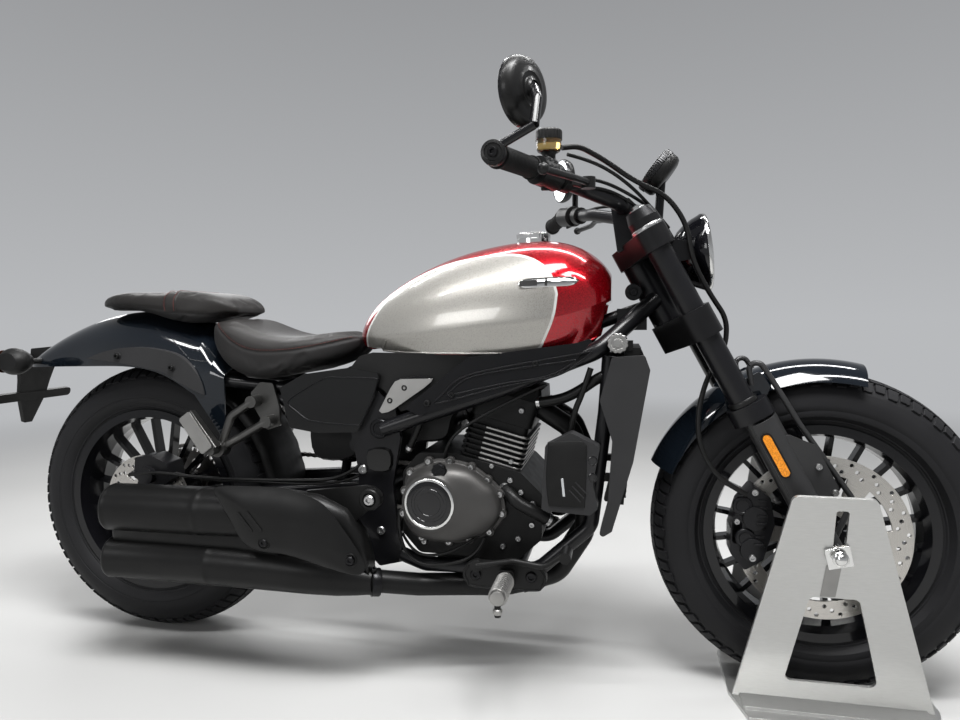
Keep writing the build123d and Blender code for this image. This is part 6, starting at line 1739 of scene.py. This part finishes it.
# %% Fender creases
CREASE = [(40, 735), (78, 716), (98, 705), (143, 669), (153, 663), (233, 654), (300, 650)]
fender_tree = skin("rear_fender")
creases = [[p for p in line_on(fender_tree, smooth_line(CREASE, 24), hand, 0.3)
            if abs(p.y) > 0.04] for hand, _ in SIDES]
wire("fender_creases", creases, 1.0, "fender_black", "frame")
print("creases", [len(route) for route in creases])

# %% [markdown]
# Grips are rubber with fine ribs. Each rib is a ring round the grip's own axis, and the two end
# ones stand higher.

# %% Grip ribs
GRIP_INNER, GRIP_OUTER = (957, 282, 1006), (914, 416.4, 1001)
ribs = []
for hand, _ in SIDES:
    inner, outer = (at(x, hand * y, z) for x, y, z in (GRIP_INNER, GRIP_OUTER))
    way = (outer - inner).normalized()
    length = (outer - inner).length / MM
    for i in range(25):
        s = length * (0.10 + 0.84 * i / 24)
        fat = 17.3 + (2.6 if i in (0, 24) else 0)
        ribs.append(turn([(16, -1.5), (fat, -1.5), (fat + 0.9, -0.7), (fat + 0.9, 0.7), (fat, 1.5),
                          (16, 1.5)], inner + way * s * MM, way, 28))
shape("grip_ribs", ribs, "grip_rubber", "steering", 40)
print("grip length", round(length), "ribs", len(ribs))

# %% [markdown]
# The brake fluid reservoir is a clear yellowish pot on a short neck, under a black ribbed lid
# with two screws.

# %% Fluid reservoir
pot_at = at(978.6, -247.3, 1040.5)
POT = [(1, 0), (17, 0), (20, 1.5), (21.5, 5), (22, 12), (22, 21)]
LID = [(22, 20.6), (23.4, 21), (23.4, 35), (22.6, 37.4), (20, 39), (17, 39), (16, 38), (1, 38)]
pot = shape("reservoir_pot", [turn(POT, pot_at, ABOVE, 48)], "reservoir_gold", "steering",
            45)
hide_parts("fluid_reservoir")
shape("reservoir_lid", [turn(LID, pot_at, ABOVE, 120, 30, 0.35)], "control_black", "steering",
      45)
NECK = [(16, -22), (17, -18), (12, -12), (12, -4), (16, 0.5)]
shape("reservoir_neck", [turn(NECK, pot_at, ABOVE, 40)], "control_black", "steering",
      45)
heads = [bolt(pot_at + Vector((math.cos(a), math.sin(a), 0)) * 19.5 * MM + ABOVE * 38.6 * MM,
              ABOVE, 2.4, 1.2) for a in (0.8, 3.94)]
shape("reservoir_screws", heads, "axle_steel", "steering", 30)
print("reservoir at", tuple(round(v, 3) for v in pot_at))

# %% [markdown]
# Each switch box carries a few buttons on the side that faces the rider, and the mirror's
# clamp at the bar's end closes with a cap and a bolt.

# %% Switch buttons and mirror clamps
SWITCH_NEAR, SWITCH_FAR, SWITCH_FAT = (1034, 158, 990), (957, 282, 1006), 25.0
BUTTONS = [(0.68, 0.2, 6.0), (0.80, 0.2, 5.0), (0.90, 0.2, 4.0), (0.74, 0.9, 4.5),
           (0.86, 0.9, 4.5)]  # share along the box, lean back, radius
CLAMP_CAP = [(19.2, -15), (19.6, -13), (19.6, -2), (18, 0.4), (14, 1.4), (13, 0.4), (9, 0.4)]
buttons = []
for hand, _ in SIDES:
    near, far = (at(x, hand * y, z) for x, y, z in (SWITCH_NEAR, SWITCH_FAR))
    back = (far - near).normalized().cross(ABOVE).normalized() * hand
    for share, lean, size in BUTTONS:
        out = (back * math.cos(lean) + ABOVE * math.sin(lean)).normalized()
        spot = near.lerp(far, share) + out * SWITCH_FAT * MM
        buttons.append(turn([(size + 1, -2), (size + 1, 0.6), (size, 1.0), (size - 0.4, 3.4),
                             (size - 1.4, 4), (1, 4)], spot, out, 28))
shape("switch_buttons", buttons, "trim_grey", "steering", 40)
ends = [(at(914, hand * 435, 1001), out) for hand, out in SIDES]
shape("clamp_caps", [turn(CLAMP_CAP, end, out, 48) for end, out in ends], "control_black",
      "steering", 35)
shape("clamp_bolts", [bolt(end + out * 0.4 * MM, out, 8, 5) for end, out in ends], "dark_metal",
      "steering", 30)
print("buttons", len(buttons))

# %% [markdown]
# The rider's pegs are cast aluminium sleeves with deep cross ribs and a ball-ended feeler
# under the tip. The passenger's are ribbed plates that fold up against the struts.

# %% Peg sleeves, feelers and passenger peg plates
SLEEVE = [(9, 0), (15.4, 0), (16, 3), (14.6, 6)]
for s in range(9, 82, 9):
    SLEEVE += [(14.6, s), (18.0, s + 1), (18.2, s + 3.6), (14.8, s + 5)]
SLEEVE += [(15, 91), (13.4, 95), (9, 96)]
FEELER = [(5, 0), (5, 8), (8, 10), (9, 14), (8, 18), (5, 21), (1, 22)]
PEG_FACE = [(-46, -13), (-42, -16), (42, -16), (46, -12), (46, 12), (42, 16), (-42, 16), (-46, 13)]
PEG_WAY, PEG_ACROSS = Vector((-0.58, 0, 0.81)).normalized(), Vector((0.81, 0, 0.58)).normalized()
sleeves, treads = [], []
for hand, out in SIDES:
    sleeves += [turn(SLEEVE, at(886, hand * 188, 240), out, 36),
                turn(FEELER, at(886, hand * 276, 228), -ABOVE, 28)]
    base = at(244, hand * 172, 470) + PEG_WAY * 50 * MM
    treads.append(plate([PEG_FACE], base + out * 15.6 * MM, PEG_WAY, PEG_ACROSS, hand * -2.8))
    for i in range(9):
        spot = base + PEG_WAY * (-38 + i * 9.6) * MM - PEG_ACROSS * 20 * MM
        treads.append(plate([oblong(2.6, 13)], spot, PEG_WAY, TO_LEFT, 5))
shape("peg_sleeves", sleeves, "peg_bright", "frame", 40)
shape("passenger_treads", treads, "peg_bright", "frame", 30)
BRACKET = [(-58, -24), (58, -24), (74, -14), (80, 0), (74, 14), (58, 24), (-58, 24), (-74, 14),
           (-80, 0), (-74, -14)]
rims = [[at(880 + p.x, hand * 174.4, 240 + p.y) for p in closed_line(BRACKET, 4)]
        for hand, _ in SIDES]
wire("bracket_rims", rims, 2.0, "peg_metal", "frame", True)
print("peg sleeves", len(sleeves))

# %% [markdown]
# The front caliper is a casting with two piston housings, cooling ribs between them and bolts
# at its ends. The frame's side carries a relay box and a round bush.

# %% Caliper housings, relay box and bush
caliper_tree = skin("front_caliper")
HOUSING = [(19, -4), (19, 2), (17, 4.4), (13, 5), (11.6, 3.4), (1, 3.4)]
pistons = [turn(HOUSING, dropped(caliper_tree, x, z)[0], TO_RIGHT, 36)
           for x, z in ((1334, 385), (1340, 322))]
ribs = [plate([oblong(9, 2)], dropped(caliper_tree, 1364 + i * 1.2, 312 + i * 14)[0]
              + TO_RIGHT * 3 * MM, AHEAD, ABOVE, 5) for i in range(7)]
studs = [bolt(dropped(caliper_tree, x, z)[0], TO_RIGHT, radius, 5)
         for x, z, radius in ((1324, 354, 6), (1356, 412, 7), (1352, 286, 7))]
shape("caliper_housings", pistons + ribs, "caliper_black", "steering", 30)
shape("caliper_studs", studs, "axle_steel", "steering", 30)
side_tree = skin("pivot_plates", "frame_covers", "lower_cradle")
BUSH = [(21, -8), (21, 6), (19, 8), (14, 8), (13, 6), (8, 6), (7, 9), (1, 9)]
shape("frame_bush", [turn(BUSH, dropped(side_tree, 606, 519)[0], TO_RIGHT, 40)], "dark_metal",
      "frame", 35)
raised("relay_box", [(580, 431), (578, 474), (629, 475), (628, 430)], 104, 22, "cover_black",
       4.0)
print("caliper pieces", len(pistons), len(ribs), len(studs))

# %% [markdown]
# The front axle's domed nuts hold the wheel to the display stand and are its brightest spots.
# Above each one a darker strip lies flat on the plate as a painted shadow, so it is drawn in the
# plate's own plane, which two rows of points on the plate give.

# %% Stand nuts and painted shadow strips
NUT = [(13, -5), (13.6, -4), (13.6, -1), (12, 1), (10.5, 1.6), (9.6, 4), (7, 6.4), (4, 7.8),
       (1, 8.2)]
SHADOW_STRIP_ROWS, SHADOW_STRIP_LENGTH = [[(1461, 237), (1487, 238)], [(1463, 262), (1489, 263)]], 2.6
nut_low, nut_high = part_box("stand_bolts")
stand_tree = skin("stand_plates")
domes, shadow_strips = [], []
for hand, out in SIDES:
    face = (nut_low + nut_high) / 2
    face.y = nut_low.y if hand < 0 else nut_high.y
    domes.append(turn(NUT, face, out, 40))
    # each strip is a painted shadow, laid flat on the plate
    points, faces = laid(stand_tree, SHADOW_STRIP_ROWS, hand, 0.6, 0)
    points[2:] = [points[i] + (points[i + 2] - points[i]) * SHADOW_STRIP_LENGTH for i in (0, 1)]
    shadow_strips.append((points, faces))
shape("stand_nuts", domes, "polished_metal", "steering", 30)
shape("stand_shadow_strips", shadow_strips, "shadow_strip_grey", "steering", 30)
print("stand nuts", len(domes))
